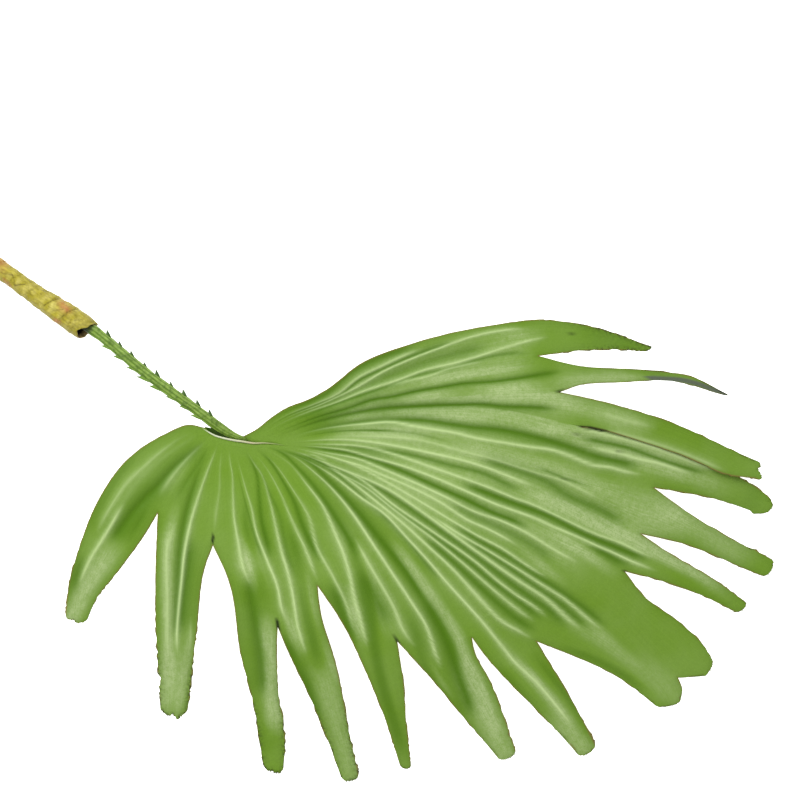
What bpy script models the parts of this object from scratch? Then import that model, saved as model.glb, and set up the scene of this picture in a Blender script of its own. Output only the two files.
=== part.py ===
"""Fan palm leaf, lying on a flat surface as it was cut.

A pleated blade of fifteen fingers sits on a grooved, thorny stalk (the petiole), which
comes out of a rolled papery sheath (the sleeve). Units are metres and +Z is up. The
measures below are in millimetres, in the leaf's own frame: x runs along the stalk towards
the blade, y to the left of it, and (0, 0) is where the stalk meets the blade.
"""

import math

import bmesh
import bpy
import numpy as np
from mathutils import Matrix, Vector

MM = 0.001
CURVE_STEPS = 400           # fine steps from which a curve's even points are read

# The leaf frame's place in the world, so that the world's origin is under the sleeve.
LEAF_AT = (150.0, 2.6, 0.0)

# Blade
SHEET = 0.9                 # thickness, straight down
ROWS = 24                   # rows of facets from the hub to the finger tips
HUB = (14.0, 7.0)           # where the folds run together
HUB_HEIGHT = 24.0
ARCH = 8.0                  # how far the blade bulges above the straight fall to its tips
FOLD_RISE = 1.8             # half the height of a full grown fold
FOLD_GROWTH = 90.0          # distance from the hub over which the folds grow
TIP_FLATTENING = 0.65       # share of a fold's height that is lost at the tip
ROUND_FROM = 0.88           # share of a finger's length where its rounded end starts

# The lines between the fingers, from the hub's rim to the notch, and the blade's two
# outer edges, which are the first and the last. Each has its lift there: 1 is the top of a
# ridge and -1 the bottom of a valley.
FOLDS = [
    (-0.3, [(-20, -7), (-29, -11), (-37, -23), (-47, -51), (-47, -76), (-40, -108), (-33, -129),
            (-24, -147)]),
    (-1.0, [(-15, -8), (-16, -22), (-16, -43), (-13, -65)]),
    (0.6, [(-9, -6), (-3, -19), (6, -34), (25, -61)]),
    (-1.0, [(-3, -4), (13, -18), (44, -43), (72, -66), (85, -78)]),
    (-1.0, [(3, -1), (19, -7), (60, -30), (90, -44)]),
    (-1.0, [(9, 2), (25, 8), (49, 5), (84, -6), (119, -28), (148, -43)]),
    (-0.7, [(14, 6), (35, 12), (82, 15), (135, 6), (183, -15)]),
    (0.8, [(18, 9), (41, 14), (83, 20), (132, 12), (180, 3), (216, 6)]),
    (0.3, [(20, 10), (52, 20), (104, 35), (176, 43), (235, 49), (298, 38)]),
    (-1.0, [(21, 10.5), (49, 24), (101, 44), (172, 59), (234, 71)]),
    (-0.6, [(19, 10.5), (45, 29), (92, 59), (160, 85), (229, 95)]),
    (-0.8, [(17, 9.5), (42, 34), (87, 65), (155, 93), (219, 122)]),
    (-1.0, [(14, 7.5), (26, 26), (57, 61), (106, 100), (162, 126)]),
    (0.4, [(11, 5.5), (25, 27), (48, 57), (83, 90), (139, 135)]),
    (-1.0, [(7, 3), (19, 24), (48, 66), (76, 105), (116, 145)]),
    (0.2, [(1, 2), (5, 10), (8, 21), (13, 33), (18, 40), (25, 54), (33, 80), (47, 102),
           (80, 141), (108, 166), (136, 180), (166, 189)]),
]

# The fingers in turn: the left and the right edge beyond the notches, the tip, the tip's
# height, and the folds between the two lines as (share of the width, lift).
FINGERS = [
    ([], [(-12, -75), (-12, -110), (-13, -127), (-12, -139)], (-14, -148), 5.0,
     [(0.30, 1.0), (0.52, -1.0), (0.75, 0.8)]),
    ([(9, -98), (29, -126), (54, -157)], [(28, -72), (48, -110), (69, -148)], (66, -160), 3.0,
     [(0.27, 0.7), (0.42, -0.5), (0.58, 1.0), (0.80, -0.8)]),
    ([(44, -72), (77, -105), (99, -124), (124, -149)],
     [(91, -87), (108, -109), (132, -136), (136, -143)], (135, -152), 1.5,
     [(0.28, -0.8), (0.58, 1.0)]),
    ([(96, -85), (121, -99), (167, -128)], [(97, -52), (128, -77), (160, -107), (176, -121)],
     (175, -129), 1.05,
     [(0.15, 1.0), (0.38, -0.7), (0.60, 1.0)]),
    ([(114, -53), (145, -70), (170, -86), (192, -102)], [(165, -60), (181, -79), (198, -98)],
     (198, -103), 3.0,
     [(0.13, 1.0), (0.28, -1.0), (0.44, 0.8), (0.56, -0.2), (0.70, 0.7)]),
    ([(180, -50), (210, -58), (237, -64)], [(187, -19), (208, -30), (244, -54)],
     (244, -62), 2.5,
     [(0.12, 1.0), (0.25, -0.4), (0.38, 0.7), (0.55, -1.0), (0.80, 0.9)]),
    ([(195, -19), (235, -27), (273, -33)], [(247, -7), (280, -22)], (281, -32), 3.5,
     [(0.38, 1.0), (0.70, -0.7)]),
    ([(240, 12), (268, 17), (295, 17)], [(304, 34), (306, 29)], (304, 21), 7.0,
     [(0.30, -0.8), (0.55, 0.7), (0.78, -0.5)]),
    ([(304, 43), (309, 48)], [(252, 66), (279, 66), (302, 62), (308, 59)], (311, 53), 7.0,
     [(0.20, -0.6), (0.40, 0.7), (0.60, -0.5), (0.80, 0.8)]),
    ([(252, 78), (284, 87), (302, 90)], [(250, 96), (281, 99), (303, 99)], (306, 95), 3.5,
     [(0.22, 1.0), (0.34, -0.7), (0.48, 0.7), (0.72, -0.7), (0.90, 0.6)]),
    ([(253, 105), (290, 114), (302, 117)], [(233, 122), (267, 124), (300, 129)],
     (306, 124), 0.95,
     [(0.50, 0.6)]),
    ([(248, 136), (275, 146)], [(178, 132), (217, 144), (252, 153), (272, 158), (278, 158)],
     (284, 152), 2.5,
     [(0.24, 1.0), (0.45, -0.9), (0.65, 0.9)]),
    ([(177, 133.5), (216, 145.5), (251, 154.5), (265, 162)], [(157, 143), (204, 160), (259, 171)],
     (265, 169), 6.0,
     [(0.35, 0.5), (0.60, -0.3)]),
    ([(146, 145), (165, 161), (190, 180), (216, 190)], [(136, 153), (173, 176), (200, 190),
     (216, 192)], (222, 193), 15.0,
     [(0.40, -0.9), (0.70, 0.6)]),
    ([(138, 165), (151, 175), (165, 184)], [], (168, 188), 17.0,
     [(0.25, 1.0), (0.50, -0.6), (0.75, 1.0), (0.85, -0.5)]),
]

# Petiole: x, y, width and height of its section, and the height of its middle.
BORE_CLEARANCE = 0.42       # between the petiole and the corners of the sleeve's bore
PETIOLE_SIDES = 18
PETIOLE_RIBS = 6
RIB_DEPTH = 0.09            # share of the radius
PETIOLE_STATIONS = [
    (-191.5, -2.6, 6.0, 6.0, 5.5),
    (-150.0, -2.6, 6.0, 6.0, 6.3),
    (-126.0, -2.5, 6.0, 6.0, 6.9),
    (-112.0, -1.0, 6.0, 6.0, 8.2),
    (-80.0, -1.5, 5.8, 5.6, 12.6),
    (-43.0, -1.8, 5.4, 4.8, 18.2),
    (-24.0, -2.2, 6.0, 4.2, 20.6),
    (-11.0, -2.3, 6.6, 3.2, 21.5),
    (0.0, 0.2, 5.0, 2.4, 21.9),
    (12.0, 5.0, 3.0, 1.6, 22.3),
    (24.0, 9.5, 1.4, 1.0, 22.5),
]
PETIOLE_PITCH = 4.9         # distance between rings

# Thorns along the two edges: which edge, where the first stands, how many, their spacing.
THORN_ROWS = [(1, -98.6, 9, 9.8), (-1, -95.0, 8, 10.0)]
THORN_LENGTH = 4.0
THORN_ROOT = 1.0            # radius
THORN_POINT = 0.14          # radius
THORN_SUNK = 1.3
THORN_LEAN = math.radians(38)   # back, away from the blade
THORN_RISE = 0.12           # slope up, out of the leaf's plane

# Sleeve: x and outer radius along it. It lies on a flat strip cut from its underside.
SLEEVE_SIDES = 20
SLEEVE_Y = -2.6
SLEEVE_PROFILE = [(-192.0, 5.8), (-176.0, 5.85), (-150.0, 6.6), (-124.0, 7.0), (-111.5, 7.1)]
SLEEVE_RINGS = 30
SLEEVE_SLANT = 0.32         # slope of the mouth across the sleeve
SLANT_FROM = -130.0
FLAT_DEPTH = 0.45           # depth of the flat strip under the round section
CRUMPLE = 0.28              # depth of the dents
DENTS = [(0.31, 2, 0.0, 1.0), (0.23, -3, 1.3, 1.0), (0.52, 5, 0.4, 0.7)]
                            # each a wave: turns per millimetre, lobes round, phase, weight
SMOOTH_UNDER = (2.2, 0.15)  # how soon the dents start above the underside
WRAP_PITCH = 17.0           # length of one turn of the rolled edge
WRAP_STEP = 0.35
LIP = 0.7                   # thickness of the mouth's edge
POCKET = [(2.0, 0.0), (6.0, 0.25), (9.0, 0.75), (11.0, 1.0)]   # depth, share of the way to the bore
BORE_RINGS = 14


def curve(points, steps):
    """Return steps + 1 evenly spaced points on a smooth curve through the given points."""
    through = np.array(points, float)
    chord = np.r_[0, np.cumsum(np.linalg.norm(np.diff(through, axis=0), axis=1))]
    slope = np.gradient(through, chord, axis=0)
    fine = np.linspace(0, chord[-1], CURVE_STEPS)
    piece = np.clip(np.searchsorted(chord, fine, side="right") - 1, 0, len(through) - 2)
    width = (chord[piece + 1] - chord[piece])[:, None]
    t = (fine - chord[piece])[:, None] / width
    dense = ((2 * t**3 - 3 * t**2 + 1) * through[piece] + (t**3 - 2 * t**2 + t) * width * slope[piece]
             + (3 * t**2 - 2 * t**3) * through[piece + 1] + (t**3 - t**2) * width * slope[piece + 1])
    run = np.r_[0, np.cumsum(np.linalg.norm(np.diff(dense, axis=0), axis=1))]
    even = np.linspace(0, run[-1], steps + 1)
    return np.stack([np.interp(even, run, dense[:, axis]) for axis in range(dense.shape[1])], axis=1)


def length(points):
    """Return the length of the straight runs between the points."""
    return float(np.linalg.norm(np.diff(np.array(points, float), axis=0), axis=1).sum())


def smooth(value):
    """Ease a share between 0 and 1 in and out."""
    share = min(max(value, 0.0), 1.0)
    return share * share * (3 - 2 * share)


def finger_edge(side, finger):
    """Return a finger's own edge, from its notch to its tip, or nothing on an outer edge."""
    edge = FINGERS[finger][side]
    return [FOLDS[finger + side][1][-1]] + edge if edge else []


def notch_row(fold):
    """Return the row in which the fingers on both sides of a fold part."""
    if fold in (0, len(FINGERS)):
        return ROWS
    inner = length(FOLDS[fold][1])
    outer = (length(finger_edge(1, fold - 1)) + length(finger_edge(0, fold))) / 2
    return round(ROWS * inner / (inner + outer))


def edge_rows(side, finger):
    """Return a finger's left (0) or right (1) line in plan, one point for each row."""
    fold = finger + side
    parting = notch_row(fold)
    inner = curve(FOLDS[fold][1], parting)
    own = finger_edge(side, finger)
    if not own:
        return inner
    return np.vstack([inner, curve(own, ROWS - parting)[1:]])


def droop(side, finger, row):
    """Return the tip height that a row of a finger's line falls towards."""
    fold = finger + side
    near = FINGERS[finger][3]
    if fold in (0, len(FINGERS)):
        return near
    beyond = FINGERS[fold if side else fold - 1][3]
    parting = notch_row(fold)
    own = smooth((row - parting) / (ROWS - parting))
    return near * (1 + own) / 2 + beyond * (1 - own) / 2


def height(x, y, row, tip, lift):
    """Return the height of the blade's middle layer."""
    share = row / ROWS
    base = HUB_HEIGHT * (1 - share**2) + tip * share**2 + 16 * ARCH * (share * (1 - share)) ** 2
    reach = math.hypot(x - HUB[0], y - HUB[1])
    flat = 1 - TIP_FLATTENING * smooth((share - 0.5) * 2)
    return base + lift * FOLD_RISE * (1 - math.exp(-reach / FOLD_GROWTH)) * flat


def finger_grid(finger):
    """Return a finger's points, row by row, from its left line to its right one."""
    left = edge_rows(0, finger)
    right = edge_rows(1, finger)
    tip = np.array(FINGERS[finger][2], float)
    creases = [(0.0, FOLDS[finger][0])] + FINGERS[finger][4] + [(1.0, FOLDS[finger + 1][0])]
    bulge = tip - (left[-1] + right[-1]) / 2
    grid = []
    for row in range(ROWS + 1):
        rounding = max(0.0, (row / ROWS - ROUND_FROM) / (1 - ROUND_FROM)) ** 2
        low, high = droop(0, finger, row), droop(1, finger, row)
        line = []
        for across, lift in creases:
            place = left[row] * (1 - across) + right[row] * across
            place = place + bulge * rounding * math.sqrt(4 * across * (1 - across))
            target = low * (1 - across) + high * across
            line.append((*place, height(*place, row, target, lift)))
        grid.append(line)
    return grid


def blade_sheet():
    """Return a bmesh of the blade's middle layer, in triangles."""
    sheet = bmesh.new()
    shared = {}
    for finger in range(len(FINGERS)):
        rows = []
        for row, line in enumerate(finger_grid(finger)):
            corners = []
            for column, point in enumerate(line):
                fold = {0: finger, len(line) - 1: finger + 1}.get(column)
                key = (fold, row)
                if fold is None or row > notch_row(fold):
                    corners.append(sheet.verts.new(Vector(point) * MM))
                elif key in shared:
                    corners.append(shared[key])
                else:
                    shared[key] = sheet.verts.new(Vector(point) * MM)
                    corners.append(shared[key])
            rows.append(corners)
        for near, far in zip(rows, rows[1:]):
            for a, b, c, d in zip(near, near[1:], far[1:], far):
                sheet.faces.new((a, b, c))
                sheet.faces.new((a, c, d))
    return sheet


def make_blade():
    """Thicken the blade's middle layer straight down into one closed solid."""
    solid = blade_sheet()
    under = bmesh.ops.extrude_face_region(solid, geom=solid.faces[:], use_keep_orig=True)["geom"]
    lower = [part for part in under if isinstance(part, bmesh.types.BMVert)]
    upper = [vert for vert in solid.verts if vert not in set(lower)]
    bmesh.ops.translate(solid, verts=lower, vec=(0, 0, -SHEET / 2 * MM))
    bmesh.ops.translate(solid, verts=upper, vec=(0, 0, SHEET / 2 * MM))
    return finish(solid, "blade")


def petiole_at(x):
    """Return the petiole's y, width, height and middle height at a place along it."""
    stations = np.array(PETIOLE_STATIONS)
    return [float(np.interp(x, stations[:, 0], stations[:, column])) for column in range(1, 5)]


def petiole_stations():
    """Return evenly spaced stations on smooth lines through the petiole's measures."""
    reach = PETIOLE_STATIONS[-1][0] - PETIOLE_STATIONS[0][0]
    return curve(PETIOLE_STATIONS, round(reach / PETIOLE_PITCH))


def ring(mesh, x, centre, radii, sides, relief):
    """Add a ring of points round a place on the x axis; relief scales each point's radius."""
    verts = []
    for side in range(sides):
        angle = 2 * math.pi * side / sides
        scale = relief(x, angle)
        verts.append(mesh.verts.new(Vector((x, centre[0] + radii[0] * scale * math.cos(angle),
                                            centre[1] + radii[1] * scale * math.sin(angle))) * MM))
    return verts


def bridge(mesh, rings, closed=False):
    """Join rings of equal numbers of points with four-sided faces."""
    pairs = list(zip(rings, rings[1:]))
    if closed:
        pairs.append((rings[-1], rings[0]))
    for near, far in pairs:
        for side, corner in enumerate(near):
            after = (side + 1) % len(near)
            mesh.faces.new((corner, near[after], far[after], far[side]))


def rib(_x, angle):
    """Return the petiole's radius, as a share, with its lengthwise ribs and grooves."""
    return 1 - RIB_DEPTH * (1 - math.cos(PETIOLE_RIBS * angle)) / 2


def make_thorns():
    """Return an object of all thorns, each a slim cone rooted in the petiole's edge."""
    thorns = bmesh.new()
    for edge, first, count, spacing in THORN_ROWS:
        for number in range(count):
            x = first + spacing * number
            y, width, _height, middle = petiole_at(x)
            out = Vector((-math.sin(THORN_LEAN), edge * math.cos(THORN_LEAN), THORN_RISE))
            root = Vector((x, y + edge * (width / 2 - THORN_SUNK), middle))
            place = Matrix.Translation((root + out * THORN_LENGTH / 2) * MM)
            turn = out.to_track_quat("Z", "Y").to_matrix().to_4x4()
            bmesh.ops.create_cone(thorns, cap_ends=True, segments=5, radius1=THORN_ROOT * MM,
                                  radius2=THORN_POINT * MM, depth=THORN_LENGTH * MM, matrix=place @ turn)
    data = bpy.data.meshes.new("thorns")
    thorns.to_mesh(data)
    thorns.free()
    cutter = bpy.data.objects.new("thorns", data)
    bpy.context.scene.collection.objects.link(cutter)
    cutter.hide_render = True
    cutter.display_type = "WIRE"
    return cutter


def make_petiole():
    """Build the grooved stalk and fuse the thorns to it."""
    stalk = bmesh.new()
    rings = [ring(stalk, x, (y, middle), (width / 2, tall / 2), PETIOLE_SIDES, rib)
             for x, y, width, tall, middle in petiole_stations()]
    bridge(stalk, rings)
    stalk.faces.new(rings[0])
    stalk.faces.new(rings[-1])
    petiole = finish(stalk, "petiole")
    union = petiole.modifiers.new("thorns", "BOOLEAN")
    union.operation = "UNION"
    union.solver = "EXACT"
    union.object = make_thorns()
    union.object.parent = petiole.parent
    return petiole


def sleeve_radius(x):
    """Return the sleeve's outer radius at a place along it."""
    stations = np.array(SLEEVE_PROFILE)
    return float(np.interp(x, stations[:, 0], stations[:, 1]))


def crumpled(x, angle):
    """Return the sleeve's outer radius, as a share, with its rolled edge and dents."""
    turn = (x / WRAP_PITCH + angle / (2 * math.pi)) % 1.0
    dents = sum(weight * math.sin(rate * x + lobes * angle + phase) for rate, lobes, phase, weight in DENTS)
    dents /= sum(weight for *_wave, weight in DENTS)
    above = smooth(SMOOTH_UNDER[0] * (1 + math.sin(angle)) - SMOOTH_UNDER[1])
    return 1 + above * (WRAP_STEP * (turn - 1) + CRUMPLE * dents) / sleeve_radius(x)


def plain(_x, _angle):
    """Leave a ring's radius as it is."""
    return 1.0


def slanted(verts, start, end):
    """Slide a ring's points along the sleeve so that its mouth is cut at a slant."""
    share = smooth((start - SLANT_FROM) / (end - SLANT_FROM))
    for vert in verts:
        vert.co.x += share * SLEEVE_SLANT * (vert.co.y - SLEEVE_Y * MM)
    return verts


def make_sleeve():
    """Build the rolled sheath: its outside, the mouth's pocket and the petiole's bore."""
    sheath = bmesh.new()
    tail, mouth = SLEEVE_PROFILE[0][0], SLEEVE_PROFILE[-1][0]
    rings = []
    for x in np.linspace(tail, mouth, SLEEVE_RINGS + 1):
        radius = sleeve_radius(x)
        centre = (SLEEVE_Y, radius - FLAT_DEPTH)
        rings.append(slanted(ring(sheath, x, centre, (radius, radius), SLEEVE_SIDES, crumpled), x, mouth))
    rim = sleeve_radius(mouth)
    lip = (SLEEVE_Y, rim - FLAT_DEPTH)
    rings.append(slanted(ring(sheath, mouth, lip, (rim - LIP,) * 2, SLEEVE_SIDES, plain), mouth, mouth))
    for depth, share in POCKET:
        x = mouth - depth
        y, width, _height, middle = petiole_at(x)
        bore = width / 2 + BORE_CLEARANCE
        centre = (lip[0] * (1 - share) + y * share, lip[1] * (1 - share) + middle * share)
        radius = (rim - LIP) * (1 - share) + bore * share
        rings.append(slanted(ring(sheath, x, centre, (radius,) * 2, SLEEVE_SIDES, plain), x, mouth))
    for x in np.linspace(mouth - POCKET[-1][0], tail, BORE_RINGS + 1)[1:]:
        y, width, _height, middle = petiole_at(x)
        bore = width / 2 + BORE_CLEARANCE
        rings.append(ring(sheath, x, (y, middle), (bore, bore), SLEEVE_SIDES, plain))
    bridge(sheath, rings, closed=True)
    bmesh.ops.recalc_face_normals(sheath, faces=sheath.faces[:])
    whole = sheath.verts[:] + sheath.edges[:] + sheath.faces[:]
    cut = bmesh.ops.bisect_plane(sheath, geom=whole, dist=1e-7, plane_co=(0, 0, 0),
                                 plane_no=(0, 0, -1), clear_outer=True)["geom_cut"]
    bmesh.ops.holes_fill(sheath, edges=[part for part in cut if isinstance(part, bmesh.types.BMEdge)])
    return finish(sheath, "sleeve")


LOOKS = {   # base colour (linear), roughness
    "blade": ((0.195, 0.376, 0.042), 0.55),
    "petiole": ((0.110, 0.260, 0.030), 0.45),
    "sleeve": ((0.456, 0.402, 0.025), 0.60),
}


def finish(solid, name):
    """Turn a bmesh into a named object with its own material, in the leaf's frame."""
    bmesh.ops.recalc_face_normals(solid, faces=solid.faces[:])
    data = bpy.data.meshes.new(name)
    solid.to_mesh(data)
    solid.free()
    colour, roughness = LOOKS[name]
    material = bpy.data.materials.new(name)
    material.use_nodes = True
    shader = material.node_tree.nodes["Principled BSDF"]
    shader.inputs["Base Color"].default_value = (*colour, 1.0)
    shader.inputs["Roughness"].default_value = roughness
    shader.inputs["Metallic"].default_value = 0.0
    data.materials.append(material)
    part = bpy.data.objects.new(name, data)
    bpy.context.scene.collection.objects.link(part)
    part.parent = bpy.data.objects["leaf"]
    return part


def main():
    for old in list(bpy.data.objects):
        bpy.data.objects.remove(old, do_unlink=True)
    leaf = bpy.data.objects.new("leaf", None)
    leaf.location = Vector(LEAF_AT) * MM
    bpy.context.scene.collection.objects.link(leaf)
    make_blade()
    make_petiole()
    make_sleeve()
    bpy.context.view_layer.update()


main()
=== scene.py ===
# %% [markdown]
# # A fan palm leaf
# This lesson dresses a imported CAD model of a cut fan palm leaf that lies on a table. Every
# new piece is made in the same place and then stands for one of the solids.

# %% Load the frame
import math

import bpy
import numpy as np
from mathutils import Matrix, Vector


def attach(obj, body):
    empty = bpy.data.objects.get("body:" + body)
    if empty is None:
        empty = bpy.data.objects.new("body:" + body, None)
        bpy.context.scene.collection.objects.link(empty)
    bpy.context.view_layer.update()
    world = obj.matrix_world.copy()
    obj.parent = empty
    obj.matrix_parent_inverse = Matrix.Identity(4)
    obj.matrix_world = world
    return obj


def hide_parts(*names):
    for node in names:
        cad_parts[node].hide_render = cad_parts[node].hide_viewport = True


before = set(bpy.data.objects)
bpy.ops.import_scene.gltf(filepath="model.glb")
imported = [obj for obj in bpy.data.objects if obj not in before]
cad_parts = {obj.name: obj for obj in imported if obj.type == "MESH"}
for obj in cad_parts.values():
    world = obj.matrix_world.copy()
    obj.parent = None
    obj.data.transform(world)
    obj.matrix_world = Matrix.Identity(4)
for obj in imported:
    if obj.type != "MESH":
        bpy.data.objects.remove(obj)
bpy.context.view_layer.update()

MM = 0.001
LEAF_AT = np.array([150.0, 2.6, 0.0])   # the leaf frame's place in the world
print("CAD nodes:", list(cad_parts))

# %% [markdown]
# ## Smooth lines through a few points
# Leaf outlines are long, easy curves. A few measured points with a smooth curve through them
# keep the numbers short, and the curve can be read at as many places as the mesh has rows.

# %% Curves and easing
CURVE_STEPS = 400


def curve(points, steps):
    """Return steps + 1 evenly spaced points on a smooth curve through the given points."""
    through = np.array(points, float)
    chord = np.r_[0, np.cumsum(np.linalg.norm(np.diff(through, axis=0), axis=1))]
    slope = np.gradient(through, chord, axis=0)
    fine = np.linspace(0, chord[-1], CURVE_STEPS)
    piece = np.clip(np.searchsorted(chord, fine, side="right") - 1, 0, len(through) - 2)
    width = (chord[piece + 1] - chord[piece])[:, None]
    t = (fine - chord[piece])[:, None] / width
    dense = ((2 * t**3 - 3 * t**2 + 1) * through[piece] + (t**3 - 2 * t**2 + t) * width * slope[piece]
             + (3 * t**2 - 2 * t**3) * through[piece + 1] + (t**3 - t**2) * width * slope[piece + 1])
    run = np.r_[0, np.cumsum(np.linalg.norm(np.diff(dense, axis=0), axis=1))]
    even = np.linspace(0, run[-1], steps + 1)
    return np.stack([np.interp(even, run, dense[:, axis]) for axis in range(dense.shape[1])], axis=1)


def length(points):
    """Return the length of the straight runs between the points."""
    return float(np.linalg.norm(np.diff(np.array(points, float), axis=0), axis=1).sum())


def ease(value):
    """Ease numbers between 0 and 1 in and out."""
    share = np.clip(value, 0.0, 1.0)
    return share * share * (3 - 2 * share)


arc = [(1, 0), (0.924, 0.383), (0.707, 0.707), (0.383, 0.924), (0, 1)]
print("a quarter circle through 5 points is", round(length(curve(arc, 40)), 3), "long, and should be 1.571")

# %% [markdown]
# ## The blade's plan
# A fan palm's blade is one sheet that is pleated like a paper fan and splits into fingers
# towards its rim. Its plan is a set of lines that all start at the hub. Sixteen lines bound
# fifteen fingers, and each finger has its own edges past the notch where it splits off.

# %% The lines between the fingers, and the fingers' own edges
ROWS = 120
HUB = np.array([10.0, 5.0])
HUB_HEIGHT = 24.0
ARCH = 8.0
ROUND_FROM = 0.88

FOLDS = [   # each line, from the hub's rim to the notch
    [(-20, -7), (-29, -11), (-37, -23), (-47, -51), (-47, -76), (-40, -108), (-33, -129),
     (-24, -147)],
    [(-15, -8), (-16, -22), (-16, -43), (-13, -65)],
    [(-9, -6), (-3, -19), (6, -34), (25, -61)],
    [(-3, -4), (13, -18), (44, -43), (72, -66), (85, -78)],
    [(3, -1), (19, -7), (60, -30), (90, -44)],
    [(9, 2), (25, 8), (49, 5), (84, -6), (119, -28), (148, -43)],
    [(14, 6), (35, 12), (82, 15), (135, 6), (183, -15)],
    [(18, 9), (41, 14), (83, 20), (132, 12), (180, 3), (216, 6)],
    [(20, 10), (52, 20), (104, 35), (176, 43), (235, 49), (298, 38)],
    [(21, 10.4), (49, 24), (101, 44), (172, 59), (234, 71)],
    [(19, 9.5), (45, 29), (92, 59), (160, 85), (229, 95)],
    [(17, 8.3), (42, 34), (87, 65), (155, 93), (219, 122)],
    [(14, 6.2), (26, 26), (57, 61), (106, 100), (162, 126)],
    [(11, 3.9), (25, 27), (48, 57), (83, 90), (139, 135)],
    [(7, 2.2), (19, 24), (48, 66), (76, 105), (116, 145)],
    [(1, 2), (5, 10), (8, 21), (13, 33), (18, 40), (25, 54), (33, 80), (47, 102),
     (80, 141), (108, 166), (136, 180), (166, 189)],
]

FINGERS = [   # left edge past the notch, right edge, tip, height of the tip
    ([], [(-12, -75), (-12, -110), (-13, -127), (-12, -139)], (-14, -148), 5.0),
    ([(9, -98), (29, -126), (54, -157)], [(28, -72), (48, -110), (69, -148)], (66, -160), 3.0),
    ([(44, -72), (77, -105), (99, -124), (124, -149)],
     [(91, -87), (108, -109), (132, -136), (136, -143)], (135, -152), 1.5),
    ([(96, -85), (121, -99), (167, -128)], [(97, -52), (128, -77), (160, -107), (176, -121)],
     (175, -129), 1.05),
    ([(114, -53), (145, -70), (170, -86), (192, -102)], [(165, -60), (181, -79), (198, -98)],
     (198, -103), 3.0),
    ([(180, -50), (210, -58), (237, -64)], [(187, -19), (208, -30), (244, -54)], (244, -62), 2.5),
    ([(195, -19), (235, -27), (273, -33)], [(247, -7), (280, -22)], (281, -32), 3.5),
    ([(240, 12), (268, 17), (295, 17)], [(304, 34), (306, 29)], (304, 21), 7.0),
    ([(304, 43), (309, 48)], [(252, 66), (279, 66), (302, 62), (308, 59)], (311, 53), 7.0),
    ([(252, 78), (284, 87), (302, 90)], [(250, 96), (281, 99), (303, 99)], (306, 95), 3.5),
    ([(253, 105), (290, 114), (302, 117)], [(233, 122), (267, 124), (300, 129)], (306, 124), 0.95),
    ([(248, 136), (275, 146)], [(170, 131.5), (177, 136), (190, 142), (217, 150), (252, 157), (270, 159),
                                (278, 158.5)], (284, 152), 2.5),
    ([(170, 130.4), (177, 133.3), (200, 141), (224, 148.4), (251, 154.5), (265, 162)],
     [(157, 143), (204, 160), (259, 171)], (265, 169), 6.0),
    ([(146, 145), (165, 161), (190, 180), (216, 190)], [(136, 153), (173, 176), (200, 190),
     (216, 192)], (222, 193), 15.0),
    ([(138, 165), (151, 175), (165, 184)], [], (168, 188), 17.0),
]


def own_edge(side, finger):
    """Return a finger's own edge from its notch to its tip, or nothing on an outer edge."""
    edge = FINGERS[finger][side]
    return [FOLDS[finger + side][-1]] + edge if edge else []


def notch_row(fold):
    """Return the row in which the fingers on both sides of a line part."""
    if fold in (0, len(FINGERS)):
        return ROWS
    inner = length(FOLDS[fold])
    outer = (length(own_edge(1, fold - 1)) + length(own_edge(0, fold))) / 2
    return round(ROWS * inner / (inner + outer))


def edge_rows(side, finger):
    """Return a finger's left (0) or right (1) line, one point for each row."""
    fold = finger + side
    inner = curve(FOLDS[fold], notch_row(fold))
    own = own_edge(side, finger)
    return np.vstack([inner, curve(own, ROWS - notch_row(fold))[1:]]) if own else inner


NOTCHES = [notch_row(fold) / ROWS for fold in range(len(FOLDS))]
EDGES = [(edge_rows(0, finger), edge_rows(1, finger)) for finger in range(len(FINGERS))]
print("notches, as shares of the length:", [round(n, 2) for n in NOTCHES[1:-1]])
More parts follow.
